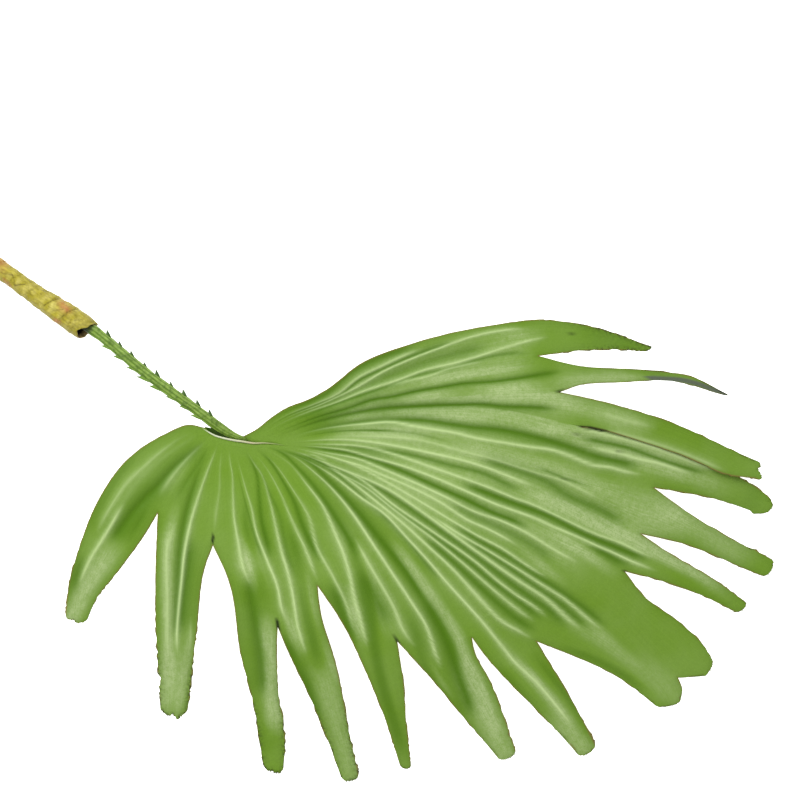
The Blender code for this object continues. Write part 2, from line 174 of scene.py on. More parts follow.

# %% [markdown]
# ## Where the pleats run
# Each finger carries lengthwise creases of its own. They don't run straight: they swing from side to side,
# join a neighbour or fade out before the tip. Each is written down as a short line of points on the leaf, in
# millimetres, so the same line can bend the mesh and guide the painted highlight and shade. A real crease
# works in the same way: it is a bend that also catches the light.

# %% Ridges: strength, half width, points, and the one finger it belongs to where that matters
RIDGES = [
    (0.6, 1.6, [(171, 131.6), (192, 139.6), (212, 146.5), (235, 152.5), (250, 155.8)], 13),
    (0.12, 3.0, [(-24, -20), (-29, -33), (-33, -50), (-33.6, -75), (-32, -88)]),
    (0.9, 1.3, [(-33, -70), (-31, -92), (-29.6, -113), (-25.8, -131)]),
    (0.5, 2.4, [(-14.5, -10), (-17.5, -25), (-19, -44), (-18.4, -58)]),
    (0.4, 1.5, [(-35.7, -46), (-38.5, -62), (-38, -78), (-36, -98)]),
    (1.0, 1.3, [(-7.6, -12.7), (-5, -22.7), (0.5, -41.5), (6.7, -59), (14, -75), (22, -89), (30.5, -104),
                (39, -118), (47, -129)]),
    (0.6, 1.6, [(-1, -62), (3, -76.5), (13, -91.5), (23, -105), (35.5, -123), (43, -134)]),
    (0.4, 1.0, [(38, -102), (47.5, -116), (53, -126)]),
    (0.4, 1.2, [(3, -24), (6.7, -29), (15.5, -45), (22, -56)]),
    (1.0, 1.2, [(7, -17.6), (17, -29.7), (25, -39.7), (36, -50.4), (46, -60), (58, -68)]),
    (1.0, 1.0, [(30, -29), (40, -38.3), (56, -49), (71, -58.5), (81, -68), (90, -73)]),
    (1.0, 1.1, [(20, -8.3), (36, -19), (50, -31), (60, -39.7), (71, -48), (80, -56), (95, -71),
                (110, -82.5)]),
    (0.8, 1.0, [(40, -12.6), (54, -21), (71, -30.4), (89, -42.5)]),
    (0.7, 1.0, [(40, -4.7), (60, -12.8), (77, -26), (92, -33), (112, -44), (125, -55)]),
    (1.0, 1.1, [(64, -3.3), (81, -13), (90, -18.5), (100, -26), (112, -37), (122, -45), (137, -58)]),
    (0.8, 1.2, [(90, -7), (102, -13), (117, -19.7), (135, -28), (147, -35.5), (160, -40)]),
    (1.0, 1.1, [(60, 8.6), (80, 3.8), (100, -3.5), (120, -11), (140, -18.5), (157, -25.5), (172, -36.5),
                (180, -42)]),
    (1.0, 1.1, [(78, 14), (98, 14.3), (115, 11), (135, 7), (152, 2.9), (165, 0.2), (180, -3), (200, -8.4),
                (212, -11.7), (230, -14), (250, -19), (265, -23.5)]),
    (0.9, 1.1, [(40, 17), (60, 18.2), (90, 17.5), (110, 16.3), (130, 14), (150, 11.6), (165, 8.5),
                (180, 5.3), (190, 3.6), (205, 5), (214, 5.7)]),
    (0.8, 1.0, [(100, 19.8), (130, 19.4), (150, 18.3), (167, 16.8), (187, 15.2), (209, 14.5)]),
    (0.9, 0.9, [(68, 22.3), (100, 22), (130, 22.9), (162, 23), (170, 22.2), (187, 21.5), (205, 22),
                (214, 21)]),
    (0.9, 1.3, [(90, 27.6), (110, 28.5), (150, 28.6), (187, 29.2), (205, 30), (222, 28), (236, 27)]),
    (0.9, 0.9, [(120, 30.2), (140, 31), (160, 33), (180, 34.5), (200, 35.6), (212, 36.4), (230, 35.3),
                (245, 34)]),
    (0.9, 0.9, [(51.6, 23.6), (68, 27.9), (90, 31), (110, 33), (130, 34.7), (150, 36.7), (165, 39),
                (180, 39.5), (200, 40.4)]),
    (0.9, 1.0, [(68, 29.3), (80, 32), (100, 36.5), (120, 39.7), (140, 40.8), (150, 43), (160, 44.7),
                (175, 46)]),
    (0.9, 1.0, [(64, 31.4), (80, 35.4), (100, 40), (120, 44), (140, 47.2), (154, 51.6), (170, 54.9),
                (190, 56.6), (210, 58.8)]),
    (1.0, 1.0, [(55, 31.4), (70, 37), (90, 44.4), (110, 50), (130, 54.4), (150, 59), (160, 62), (170, 64.9),
                (183, 67.5), (196, 70.6), (210, 73.4), (221, 75.9), (234, 78.4), (250, 82.5)]),
    (0.9, 1.0, [(60, 38), (80, 46.4), (100, 52.6), (120, 58.6), (140, 64.4), (154, 67.7), (165, 71),
                (177, 73.4), (193, 76.3), (204, 78.4), (210, 80), (221, 83.4), (234, 85.6), (245, 88)]),
    (1.0, 1.0, [(55, 38.6), (68, 46), (80, 52), (100, 61), (120, 69.4), (140, 75.4), (155, 79), (162, 81.5)]),
    (0.5, 1.3, [(90, 63.5), (110, 71), (130, 79), (150, 85.6), (160, 89), (170, 92.7), (190, 96.3),
                (200, 98.4)]),
    (0.9, 1.3, [(70, 62.5), (80, 67), (91, 72.5), (103, 78.6), (113, 82.5), (130, 91), (143, 97.5),
                (155, 104), (170, 108.6), (180, 110.9), (190, 116.4), (200, 120), (210, 125)]),
    (0.9, 1.3, [(170, 117.9), (180, 122), (190, 126.4), (200, 130), (211, 135), (224, 139.3),
                (236, 143)], 12),
    (1.0, 1.5, [(156, 121.4), (163, 125), (170, 128.2), (180, 132.3), (190, 136.4), (206, 142), (224, 147),
                (245, 152.5)], 12),
    (0.4, 2.0, [(161, 137), (180, 144.3), (200, 152.4)]),
    (0.6, 0.9, [(52, 75), (60.7, 86.4), (69.3, 95.7), (76.4, 106.4), (84.3, 115.7), (92, 124)]),
    (0.8, 0.9, [(34.3, 51.4), (43.6, 66.4), (55, 82), (65.7, 98), (78.6, 113), (90.3, 128.3), (99.6, 141),
                (110.3, 154), (115, 158.5)]),
    (0.9, 0.8, [(38.5, 65), (47, 84.3), (57, 101.4), (66.4, 115.7), (76, 129.7), (90.3, 145.4), (102, 155)]),
    (0.7, 1.2, [(32, 55.7), (36.4, 71.4), (43.6, 85), (50.7, 98), (58, 109)]),
]

# %% [markdown]
# ## The valleys
# Between two ridges the sheet dips, and less light gets in, so a valley is a dark line. The
# valleys are a list of their own, because they don't lie halfway between the ridges: some
# hug one ridge, and some widen into a broad dark stripe.

# %% Valleys, in the same form
VALLEYS = [
    (0.6, 2.0, [(-36, -108), (-31, -124), (-25, -140)]),
    (0.9, 2.6, [(-16, -17), (-20.7, -35), (-22.4, -51), (-24.9, -68), (-25.4, -85), (-25, -100)]),
    (0.4, 1.2, [(-20.5, -60), (-19, -74), (-17.5, -92)]),
    (0.4, 1.5, [(-11, -20), (-10, -40), (-8, -56)]),
    (0.8, 1.6, [(0.5, -54), (10.5, -74), (21.7, -91.5), (34, -111.5), (42, -124)]),
    (0.7, 1.8, [(10.5, -62), (23, -84), (33, -102.7), (42, -118)]),
    (0.8, 2.2, [(50, -61), (65, -76), (75, -86), (85, -96), (95, -107.5), (105, -121)]),
    (0.6, 2.0, [(88, -76), (100, -92.5), (107.5, -105), (118, -121)]),
    (0.6, 0.6, [(40, -40.5), (50, -47.5), (58, -52.5)]),
    (1.0, 1.2, [(20, -10.4), (30, -21), (40, -32), (50, -40.4), (60, -49)]),
    (0.8, 2.0, [(88, -80), (106, -90), (119, -96), (131, -105), (144, -114)]),
    (0.5, 1.2, [(46, -22.6), (54, -29.7), (66, -40), (80, -50)]),
    (1.0, 1.1, [(20, 0.3), (36, -5.4), (50, -12), (60, -19), (71, -25.4), (85, -33)]),
    (0.8, 2.0, [(92, -36), (105, -44), (118, -53), (132, -63)]),
    (1.0, 1.2, [(23, 7.5), (40, 6), (60, 1), (77, -5.4), (90, -11), (102, -18.5)]),
    (0.7, 2.8, [(103, -20), (125, -31), (143, -39)]),
    (1.0, 1.4, [(38, 12.7), (60, 10.7), (80, 7), (102, 1), (127, -6), (140, -11), (152, -15.5)]),
    (1.0, 2.1, [(140, -11), (152, -15.5), (165, -21.5), (176, -28), (190, -38.3), (200, -45), (215, -56)]),
    (0.7, 0.7, [(50, 16.8), (70, 16), (90, 14), (115, 10), (127, 7), (150, 1)]),
    (0.8, 1.3, [(120, 17.4), (150, 15), (172, 12.2), (190, 10.4), (200, 9.9), (215, 11.2)]),
    (0.8, 0.9, [(74, 20), (98, 20), (120, 20.8), (140, 21), (160, 20.4), (172, 19.5), (200, 18.8),
                (214, 18)]),
    (0.8, 1.2, [(90, 25), (130, 26), (172, 25.6), (200, 25.2), (210, 25.6), (220, 24.1), (228, 22.7)]),
    (0.8, 1.0, [(140, 29.9), (172, 32), (200, 32.4), (212, 32.7), (228, 31.3), (240, 31)]),
    (0.8, 1.0, [(130, 32.8), (150, 34.4), (172, 37), (190, 37.7), (210, 39), (230, 38.8), (247, 37.7)]),
    (0.6, 2.0, [(120, 42), (140, 44.5), (160, 48.5), (175, 51), (200, 51.5)]),
    (1.0, 1.2, [(57, 30.4), (74, 36.8), (90, 41.2), (110, 45.4), (130, 49.7), (150, 53.3), (163, 56.8),
                (175, 58)]),
    (1.0, 1.4, [(120, 55.6), (150, 63.4), (164, 67.4), (178.6, 71.3), (200, 74.5), (216, 78.4), (229, 81.6),
                (245, 86)]),
    (0.9, 1.2, [(203, 69.6), (214, 72), (228.6, 74), (238, 76.5)]),
    (0.8, 1.1, [(90, 52.6), (110, 60.4), (130, 68.6), (150, 72.5), (159, 74.5)]),
    (0.8, 2.2, [(120, 72.5), (135, 78.5), (150, 83.4), (164, 87), (180, 87.7), (190, 89.9), (204, 92.7),
                (221, 94)]),
    (0.7, 0.7, [(150, 89.9), (164, 93), (173.6, 95.6), (190, 100.6)]),
    (0.5, 0.6, [(78, 61), (90, 67), (105, 72)]),
    (0.5, 0.5, [(66, 53.6), (75.7, 59.3)]),
    (1.0, 1.2, [(160, 119), (168.6, 122), (180, 127), (190, 131.4), (204, 135.7), (218.6, 140), (230, 144),
                (243, 149)], 12),
    (0.5, 0.5, [(150, 111), (164, 120.4)]),
    (1.0, 1.8, [(54.3, 51.4), (65.7, 60.7), (80, 71.4), (97, 80.7), (108, 86.5), (121.7, 94.7),
                (136.7, 101.9), (151, 107.5), (167, 112.9), (180, 117), (194, 122.9), (208, 129)]),
    (1.0, 1.3, [(46.4, 52), (57, 62.9), (68.6, 72.9), (80, 82), (95, 93.6), (106, 101.9), (116, 107.6),
                (131.7, 118.3), (147.4, 127.6)]),
    (1.0, 0.9, [(41.4, 51.4), (50.7, 65), (60, 74.3), (70, 85.7), (80, 95.7), (90, 105.7), (101.7, 115.4),
                (112.4, 125.4), (124.6, 137.6), (135.3, 147.6)]),
    (0.7, 0.8, [(37, 53.6), (45, 65), (55.7, 80), (67, 96.4), (77, 107), (87.4, 121), (96, 131),
                (106, 139.7), (114, 144)]),
    (0.6, 2.5, [(38.6, 60.7), (48.6, 78.6), (60, 96.4), (70, 110), (80, 122), (90, 135)]),
    (1.0, 0.7, [(33.6, 56.4), (37.9, 70.7), (45, 83.6), (54.3, 99.3), (62.9, 112), (72, 124.5)]),
    (0.7, 1.6, [(27, 52), (31.5, 71), (37, 83), (44.5, 94.5), (56, 108.5)]),
]

# %% [markdown]
# ## Painted sheen and shade, slits and the curl
# The sheet shows pale grey-green where it faces the light and deep green between, and both are painted here:
# the pale as painted sheen, the deep as painted shade. These are broad strips with soft edges. A few short
# marks follow: painted shadow in the slits at the notches, and a painted grey shade where one finger's end
# curls.

# %% Painted sheen (+) and painted shade (-) on the flanks between the creases
FLANKS = [
    (0.9, 5.5, [(-21, -88), (-22, -108), (-22, -128), (-19, -148), (-18, -170)]),
    (0.4, 4.0, [(-15, -20), (-16, -40), (-16, -55)]),
    (-0.5, 3.0, [(-42, -34), (-45, -55), (-44, -80), (-39, -104)]),
    (0.7, 3.4, [(-8, -50), (0, -70), (8, -84), (18, -98), (30, -115), (44, -134), (60, -156)]),
    (0.5, 3.0, [(40, -104), (50, -122), (60, -142), (72, -164)]),
    (1.0, 5.0, [(34, -42), (44, -50), (56, -60), (68, -70)]),
    (1.0, 5.2, [(72, -72), (78, -80), (90, -93), (106, -113), (118, -128), (126, -140)]),
    (-0.7, 8.0, [(108, -126), (130, -146)]),
    (0.7, 3.0, [(74, -62), (88, -71), (100, -79), (112, -86)]),
    (0.5, 3.0, [(106, -62.5), (119, -72.5), (131, -81), (142, -90)]),
    (0.9, 2.8, [(101, -29), (113, -40), (125, -51), (136, -60)]),
    (0.5, 10, [(212, 117), (240, 121), (265, 121.7), (288, 123.5), (298, 124)], 11),
    (0.5, 5, [(236, 101), (256, 99), (274, 97.6), (290, 96.6), (300, 96)], 10),
    (-0.8, 9, [(258, 149), (270, 151), (281, 152.5)], 12),
    (-0.9, 3.6, [(84, -7), (97, -16), (119, -34), (138, -53), (158, -71), (182, -89), (198, -103)]),
    (-0.8, 3.2, [(48, -20), (70, -37), (90, -57), (110, -75), (126, -88)]),
    (-0.7, 3.0, [(20, -24), (36, -42), (56, -58), (72, -72)]),
    (-0.7, 4.0, [(136, -20), (160, -37), (184, -52), (206, -58)]),
    (0.5, 2.2, [(155, -33), (169, -41), (181, -47), (194, -52), (204, -57)]),
    (0.8, 3.4, [(105, 6), (125, -1), (140, -6), (160, -13), (175, -19), (190, -29), (205, -38), (225, -50.5),
                (236, -56)]),
    (0.5, 2.2, [(155, 10.5), (170, 7.5), (183, 5)]),
    (0.7, 3.2, [(200, -9), (225, -13), (250, -19), (272, -25.5)]),
    (-0.6, 2.2, [(210, 1), (236, -6), (258, -13), (275, -20)]),
    (-0.5, 2.5, [(195, -17), (225, -24), (248, -28)]),
    (0.6, 7.0, [(240, -24), (275, -30), (300, -33)]),
    (-0.7, 2.5, [(222, 9), (240, 15), (262, 19.5), (295, 20)]),
    (0.4, 4.0, [(222, 25), (250, 29), (285, 29)]),
    (0.5, 3.2, [(225, 33), (245, 33), (262, 33)]),
    (0.6, 2.8, [(168, 46), (185, 45), (215, 44)]),
    (0.7, 3.4, [(172, 62), (190, 64.5), (215, 66), (235, 66)]),
    (0.9, 4.2, [(152, 76), (170, 78), (190, 82), (205, 84.5), (222, 87.5), (240, 91), (262, 94.7),
                (276, 96)]),
    (0.5, 4.5, [(100, 68), (130, 83), (160, 95), (190, 103), (212, 110)]),
    (0.7, 3.6, [(126, 102), (140, 108.5), (150, 114), (158, 118.5), (166, 122)]),
    (-0.8, 8.0, [(262, 151), (284, 153)], 12),
    (0.5, 2.5, [(138, 125), (150, 132), (163, 138)]),
    (0.7, 3.0, [(60, 69), (80, 89), (95, 101)]),
    (0.8, 6.0, [(92, 99), (110, 114), (125, 125), (138, 131)]),
    (0.6, 2.4, [(60, 60), (80, 76.5), (100, 89), (116, 99)]),
    (0.6, 2.6, [(62, 83), (75, 98), (90, 113), (105, 127), (118, 139)]),
    (0.4, 4.0, [(84, 134), (100, 149), (114, 161)]),
    (-0.4, 7.0, [(118, 168), (150, 181), (172, 190)]),
    (0.4, 14.0, [(26, 34), (55, 80), (85, 118), (118, 150)]),
    (0.35, 12.0, [(40, 34), (80, 75), (120, 112), (158, 140)]),
    (0.5, 6.0, [(150, 112), (175, 121), (200, 132), (235, 142), (262, 148)], 12),
    (0.3, 8.0, [(262, 32), (290, 30), (330, 28)]),
    (-0.3, 2.0, [(150, 159), (175, 175), (200, 188)]),
    (0.6, 8.0, [(36, -118), (52, -143), (66, -172)]),
    (0.5, 7.0, [(112, -76), (140, -98), (168, -120), (188, -136)]),
    (0.7, 8.0, [(180, -26), (210, -43), (240, -60), (262, -74)]),
    (0.4, 4.0, [(240, 91), (270, 96), (290, 96)]),
    (0.4, 9.0, [(190, 104), (230, 112), (262, 117)]),
    (0.6, 6.0, [(34, 34), (50, 52), (64, 68)]),
    (0.6, 5.0, [(38, 26), (55, 44), (75, 58), (95, 66)]),
    (0.5, 4.0, [(22, 34), (34, 56), (46, 80)]),
    (0.7, 5.0, [(128, 134), (146, 148), (165, 165), (185, 178)]),
    (0.45, 13.0, [(74, 48), (120, 68), (170, 85), (220, 96), (255, 102)]),
    (0.45, 12.0, [(60, 60), (100, 90), (140, 116), (190, 134), (236, 146)], 12),
    (0.5, 6.0, [(80, 84), (120, 122), (160, 138), (200, 150)], 13),
    (0.3, 10.0, [(60, 60), (100, 88), (150, 112), (200, 124)], 11),
    (0.4, 9.0, [(80, 30), (130, 44), (180, 56), (220, 62)]),
    (0.3, 8.0, [(70, -8), (110, -22), (150, -44)]),
    (0.5, 5.0, [(30, -40), (46, -58), (58, -74)]),
    (0.5, 4.0, [(60, -30), (78, -44), (96, -58), (110, -70)]),
]

# Painted shadow: the slits and notch corners are painted near-black where shade falls; the few specks are the
# leaf's own.
GAP_SHADOWS_AND_SPECKS = [             # painted shadow in slits and notch corners, and the leaf's few dark specks
    (1.0, 0.8, [(161, 126), (165.7, 128.2), (170, 130), (177, 133)]),
    (1.0, 0.9, [(21.2, -55), (24.2, -61)]), (1.0, 0.9, [(82, -74.5), (85.8, -78.6)]),
    (0.9, 0.8, [(144, -41), (149, -43.4)]), (0.8, 0.7, [(137, 133.8), (139.4, 136)]),
    (0.8, 0.6, [(231, 71.5), (234.6, 71)]), (0.6, 0.6, [(176, 43), (177.5, 44)]),
    (0.6, 0.6, [(139, 23.4), (140.5, 24.2)]), (0.6, 0.7, [(72.5, 88), (75, 90.5)]),
    (0.5, 0.7, [(171, 94.3), (174, 95.8)]), (0.4, 0.9, [(158, 118.6), (163, 121)]),
    (0.4, 0.8, [(187, 126.3), (192, 128)]), (0.5, 0.8, [(122, 166.3), (125.5, 168)]),
]
# Painted shade: a grey strip stands for the shaded underside of one finger's curled end, which the mesh keeps
# nearly flat.
CURL = [(1.0, 1.3, [(176, 172.6), (184, 177.6), (192, 182.8), (202, 187.4), (212, 190.3), (222, 193)], 14)]
print(len(RIDGES), "ridges,", len(VALLEYS), "valleys,", len(FLANKS), "flanks")

# %% [markdown]
# ## From the plan to a surface
# A grid primitive is a sheet of paper: its width is a finger's width and its length runs
# from the hub to the tip. Every corner of the grid is moved to its place on the plan, and
# gets its height from three things. The whole blade falls from the hub to the tips in a
# shallow arch, each crease lifts or lowers a narrow strip, and the tips lie flatter.

# %% Rows and columns of the grids
TIP_ROWS = 14               # finer rows for the rounded, ragged ends
BODY_ROWS = 56
COLUMN_PITCH = 0.82         # widest spacing of the columns, mm
NEAR_NOTCH = 0.004          # a row this close to a notch gives way to it

tip_rows = ROUND_FROM + (1 - ROUND_FROM) * np.sin(np.linspace(0, math.pi / 2, TIP_ROWS + 1)[1:])
plain_rows = np.r_[np.linspace(0, ROUND_FROM, BODY_ROWS + 1), tip_rows]
cuts = sorted(set(NOTCHES[1:-1]))
keep = [v for v in plain_rows if min(abs(v - cut) for cut in cuts) > NEAR_NOTCH]
ALONG = np.array(sorted(keep + cuts))


def at_rows(line):
    """Read a line of ROWS + 1 points at the grid's rows."""
    rows = np.linspace(0, 1, ROWS + 1)
    return np.stack([np.interp(ALONG, rows, line[:, axis]) for axis in range(2)], axis=1)


LEFT = [at_rows(left) for left, right in EDGES]
RIGHT = [at_rows(right) for left, right in EDGES]
WIDTHS = [np.linalg.norm(right - left, axis=1) for left, right in zip(LEFT, RIGHT)]
COLUMNS = [max(12, round(width.max() / COLUMN_PITCH)) for width in WIDTHS]
print(len(ALONG), "rows,", COLUMNS, "columns,", 4 * len(ALONG) * sum(COLUMNS), "triangles on both sides")

# %% [markdown]
# ## What a crease does to its surroundings
# A crease bends the sheet and paints highlight or shade on the skin, and both follow from one number: how far
# a place is from the crease's smooth line. The distance is measured to short straight runs of that line,
# which is quick and near enough. A crease that starts close to the hub is led on towards it along its finger,
# because on the real leaf all the folds begin there.

# %% How near a place is to a crease
PLEAT_DEPTH = 0.34          # height of a crease, as a share of its half width
PLEAT_SPREAD = 1.9          # the bend is this much wider than the painted line
PLEAT_START = 0.09          # share of the length over which the pleats rise from the smooth hub
ROOT_SHARE = 0.3            # creases that start nearer the hub than this run on towards it
ROOT_STOPS = (0.12, 0.4, 0.7)
NARROWING = 75.0            # creases narrow over this distance from the hub, mm
NARROWEST = 0.32
LINE_STEP = 3.0             # length of the short runs that a crease is measured with, mm
LINE_FADE = 15.0            # length over which a crease fades at its ends, mm
FLANK_FADE = 24.0
CREST_ROUNDING = 0.35       # how blunt a crest is, as a share of its half width
CREST_FALL = 1.9
TIP_FLATTENING = 0.65
PALE_FROM = 12.0            # the skin's painted highlight, sheen and shade are faint near the hub and grow past this, mm
PALE_OVER = 70.0


def flat_plan(f):
    """Return the plan of a finger's grid before its tip is rounded."""
    across = np.linspace(0, 1, COLUMNS[f] + 1)
    return LEFT[f][:, None] * (1 - across)[None, :, None] + RIGHT[f][:, None] * across[None, :, None]


PLANS = [flat_plan(f) for f in range(len(FINGERS))]


def rooted(points):
    """Lengthen a line that starts near the hub, along the finger it starts on."""
    first = np.array(points[0], float)
    gaps = [np.linalg.norm(plan - first, axis=-1) for plan in PLANS]
    f = int(np.argmin([gap.min() for gap in gaps]))
    row, column = np.unravel_index(gaps[f].argmin(), gaps[f].shape)
    if ALONG[row] > ROOT_SHARE:
        return points, LINE_FADE
    stops = sorted({int(np.searchsorted(ALONG, stop * ALONG[row])) for stop in ROOT_STOPS} - {int(row)})
    roots = [tuple(PLANS[f][stop, column]) for stop in stops]
    return roots + list(points), max(LINE_FADE, 0.8 * length(roots + list(points[:1])))


def near_line(places, points, fade_in, fade_out, reach):
    """Return the places within reach of a line, their distance to it and the fade at its ends."""
    steps = max(4, round(length(points) / LINE_STEP))
    line = curve(points, steps)
    close = np.all((places > line.min(axis=0) - reach) & (places < line.max(axis=0) + reach), axis=-1)
    offset = places[close][:, None] - line[:-1]
    run = np.diff(line, axis=0)
    share = np.clip((offset * run).sum(axis=-1) / (run**2).sum(axis=-1), 0, 1)
    gap = np.linalg.norm(offset - share[..., None] * run, axis=-1)
    best = gap.argmin(axis=1)[:, None]
    walked = (best + np.take_along_axis(share, best, 1))[:, 0] * length(line) / steps
    fade = ease(walked / fade_in) * ease((length(line) - walked) / fade_out)
    return close, np.take_along_axis(gap, best, 1)[:, 0], fade


def crest(distance, half_width):
    """Return 1 on a crease's line, falling off to both sides."""
    away = np.sqrt((distance / half_width) ** 2 + CREST_ROUNDING**2) - CREST_ROUNDING
    return np.exp(-CREST_FALL * away)


def mesa(distance, half_width):
    """Return 1 along the middle of a strip, falling off softly to its edges."""
    return np.exp(-np.abs(distance / half_width) ** 2.6)


def dot(distance, half_width):
    """Return 1 close to a short mark, with a crisp edge."""
    return np.clip(1.6 - distance / half_width, 0, 1)


def creased(places, lines, shape, f, spread=1.0, grow=False):
    """Add up what all the lines of a list do at the places on one finger."""
    total = np.zeros(places.shape[:-1])
    for strength, half, points, *only in lines:
        if only and f + 1 not in only:
            continue
        fade_out = {crest: LINE_FADE, mesa: FLANK_FADE, dot: 0.8}[shape]
        points, fade_in = ROOTED[id(points)] if shape is crest else (points, fade_out)
        close, distance, fade = near_line(places, points, fade_in, fade_out, 4 * half * spread)
        from_hub = np.linalg.norm(places[close] - HUB, axis=-1)
        width = half * spread * np.clip(from_hub / NARROWING, NARROWEST, 1.0)
        total[close] += strength * fade * shape(distance, width) * (width if grow else 1.0)
    return total


ROOTED = {id(line[2]): rooted(line[2]) for line in RIDGES + VALLEYS}
led_on = sum(len(ROOTED[id(line[2])][0]) > len(line[2]) for line in RIDGES + VALLEYS)
print(led_on, "of", len(ROOTED), "creases are led on to the hub")

# %% [markdown]
# ## Ragged ends
# The finger tips have dried and frayed. Seeded dice push the corners on the free edges in and out, so the
# edge looks torn and still comes out the same on each run. Larger nicks and bumps are set one by one. Nicks
# cut with a Boolean would be sharper, but would spoil the grid.

# %% Ragged ends
EDGE_RAG = 0.42             # mm, near the tip
RAG_FROM = 0.6              # share of the length from which an edge gets rougher
RAG_OVER = 0.3
RAG_INNER = 0.3             # roughness nearer the hub, as a share of EDGE_RAG
TIP_SQUARE = 0.36           # 0.5 rounds a tip like a circle, less makes it blunter
TIP_RAG = 0.7               # mm
FRAYED = {1: 2.4, 2: 2.0, 3: 1.8, 14: 1.5}      # fingers, counted from 0, with a rougher end
PRESSED = [                 # place, reach and push of small nicks and bumps in the outline
    (-17.3, -149, 2.2, 0, 1.6), (34, -132.5, 1.8, 1.0, 0.6), (45, -147, 3.0, 1.4, 0.8),
    (68, -158, 2.0, 1.2, -1.4), (66, -160, 2.0, -1.4, 1.2), (96, -121.5, 2.2, 1.2, 0.8),
    (119, -121.5, 2.5, 1.1, 0.6), (133, -152, 2.5, 0.8, 1.2), (236, -49.5, 2.0, -0.6, -0.8),
    (280, -27.5, 2.0, -1.4, 0.3), (265.3, 168.3, 2.2, -2.0, -0.2), (266, 165, 2.6, 1.8, -0.4),
    (277, 145.5, 2.2, 0, -1.4), (281.5, 156.8, 1.8, -1.2, -0.8), (290.5, 127.5, 2.2, 0, 1.3),
    (264, 124.5, 3.0, 0, 0.9), (296.5, 37.6, 2.0, -0.8, 0.2),
]


def ragged(f, plan):
    """Roughen a finger's free edges and tip, and press the larger nicks into its outline."""
    rough = np.random.default_rng(40 + f)
    for side, column in ((0, 0), (1, -1)):
        outer = f + side in (0, len(FINGERS))
        free = ease(ALONG / 0.2) if outer else ease((ALONG - NOTCHES[f + side]) / 0.04)
        outward = plan[:, column] - plan[:, plan.shape[1] // 2]
        outward = outward / np.maximum(np.linalg.norm(outward, axis=1), 1e-6)[:, None]
        grown = FRAYED.get(f, 1.0) * ease((ALONG - RAG_FROM) / RAG_OVER)
        size = EDGE_RAG * (RAG_INNER + (1 - RAG_INNER) * grown)
        plan[:, column] += outward * (free * size * rough.uniform(-1, 1, len(ALONG)))[:, None]
    lengthwise = plan[-1] - plan[-3]
    lengthwise = lengthwise / np.linalg.norm(lengthwise, axis=1)[:, None]
    plan[-1] += lengthwise * (TIP_RAG * FRAYED.get(f, 1.0) * rough.uniform(-1, 0.6, plan.shape[1]))[:, None]
    for x, y, reach, push_x, push_y in PRESSED:
        near = np.clip(1 - ((plan - (x, y)) ** 2).sum(axis=-1) / reach**2, 0, 1) ** 1.5
        plan += near[..., None] * np.array([push_x, push_y])
    return plan


print(len(PRESSED), "larger nicks and bumps")

# %% [markdown]
# ## Heights and paint
# One function gives every corner of a finger its place, and with it the numbers that the skin reads later,
# such as how strong the painted ridge highlight or the painted sheen is there. Numbers that are kept at the
# corners stay on their fold from every side, which a picture laid over the leaf from above would not do at
# the steep places.

# %% Heights and paint
OVERLAP = 12                # the line past which one finger lies over its neighbour
OVERLAP_LIFT = 1.3          # mm
FAR = 99.0                  # stands for no free edge nearby, mm
RIDGE_SPREAD = 0.85         # how wide each paint runs, against the crease's own width
VALLEY_SPREAD = 2.0
SHEEN_SPREAD = 2.8
SHADE_SPREAD = 4.2
BORDER_WIDTH = 2.1          # mm
FRAY_WIDTH = 1.6            # mm


def droop(side, finger):
    """Return the tip height that a finger's line falls towards, at every row."""
    fold = finger + side
    near = FINGERS[finger][3]
    if fold in (0, len(FINGERS)):
        return np.full(len(ALONG), near)
    beyond = FINGERS[fold if side else fold - 1][3]
    own = ease((ALONG - NOTCHES[fold]) / (1 - NOTCHES[fold]))
    return near * (1 + own) / 2 + beyond * (1 - own) / 2


def overlapped(f, across):
    """Return how far a finger is raised over, or pressed under, the neighbour it overlaps."""
    if f not in (OVERLAP - 1, OVERLAP):
        return 0.0
    past = ease((ALONG - NOTCHES[OVERLAP]) / 0.06)[:, None]
    if f == OVERLAP:
        return OVERLAP_LIFT * past * (1 - across[None]) ** 4
    return -OVERLAP_LIFT * past * across[None] ** 4


def edge_distance(f, across, plan):
    """Return how far each place on a finger is from a free edge or the tip."""
    rows = ALONG[:, None]
    to_left = across[None] * WIDTHS[f][:, None]
    to_right = (1 - across[None]) * WIDTHS[f][:, None]
    if f > 0:
        to_left = np.where(rows >= NOTCHES[f], to_left, FAR)
    if f < len(FINGERS) - 1:
        to_right = np.where(rows >= NOTCHES[f + 1], to_right, FAR)
    to_tip = np.linalg.norm(plan[-1] - plan, axis=-1) + 0.4
    return np.minimum(np.minimum(to_left, to_right), to_tip)


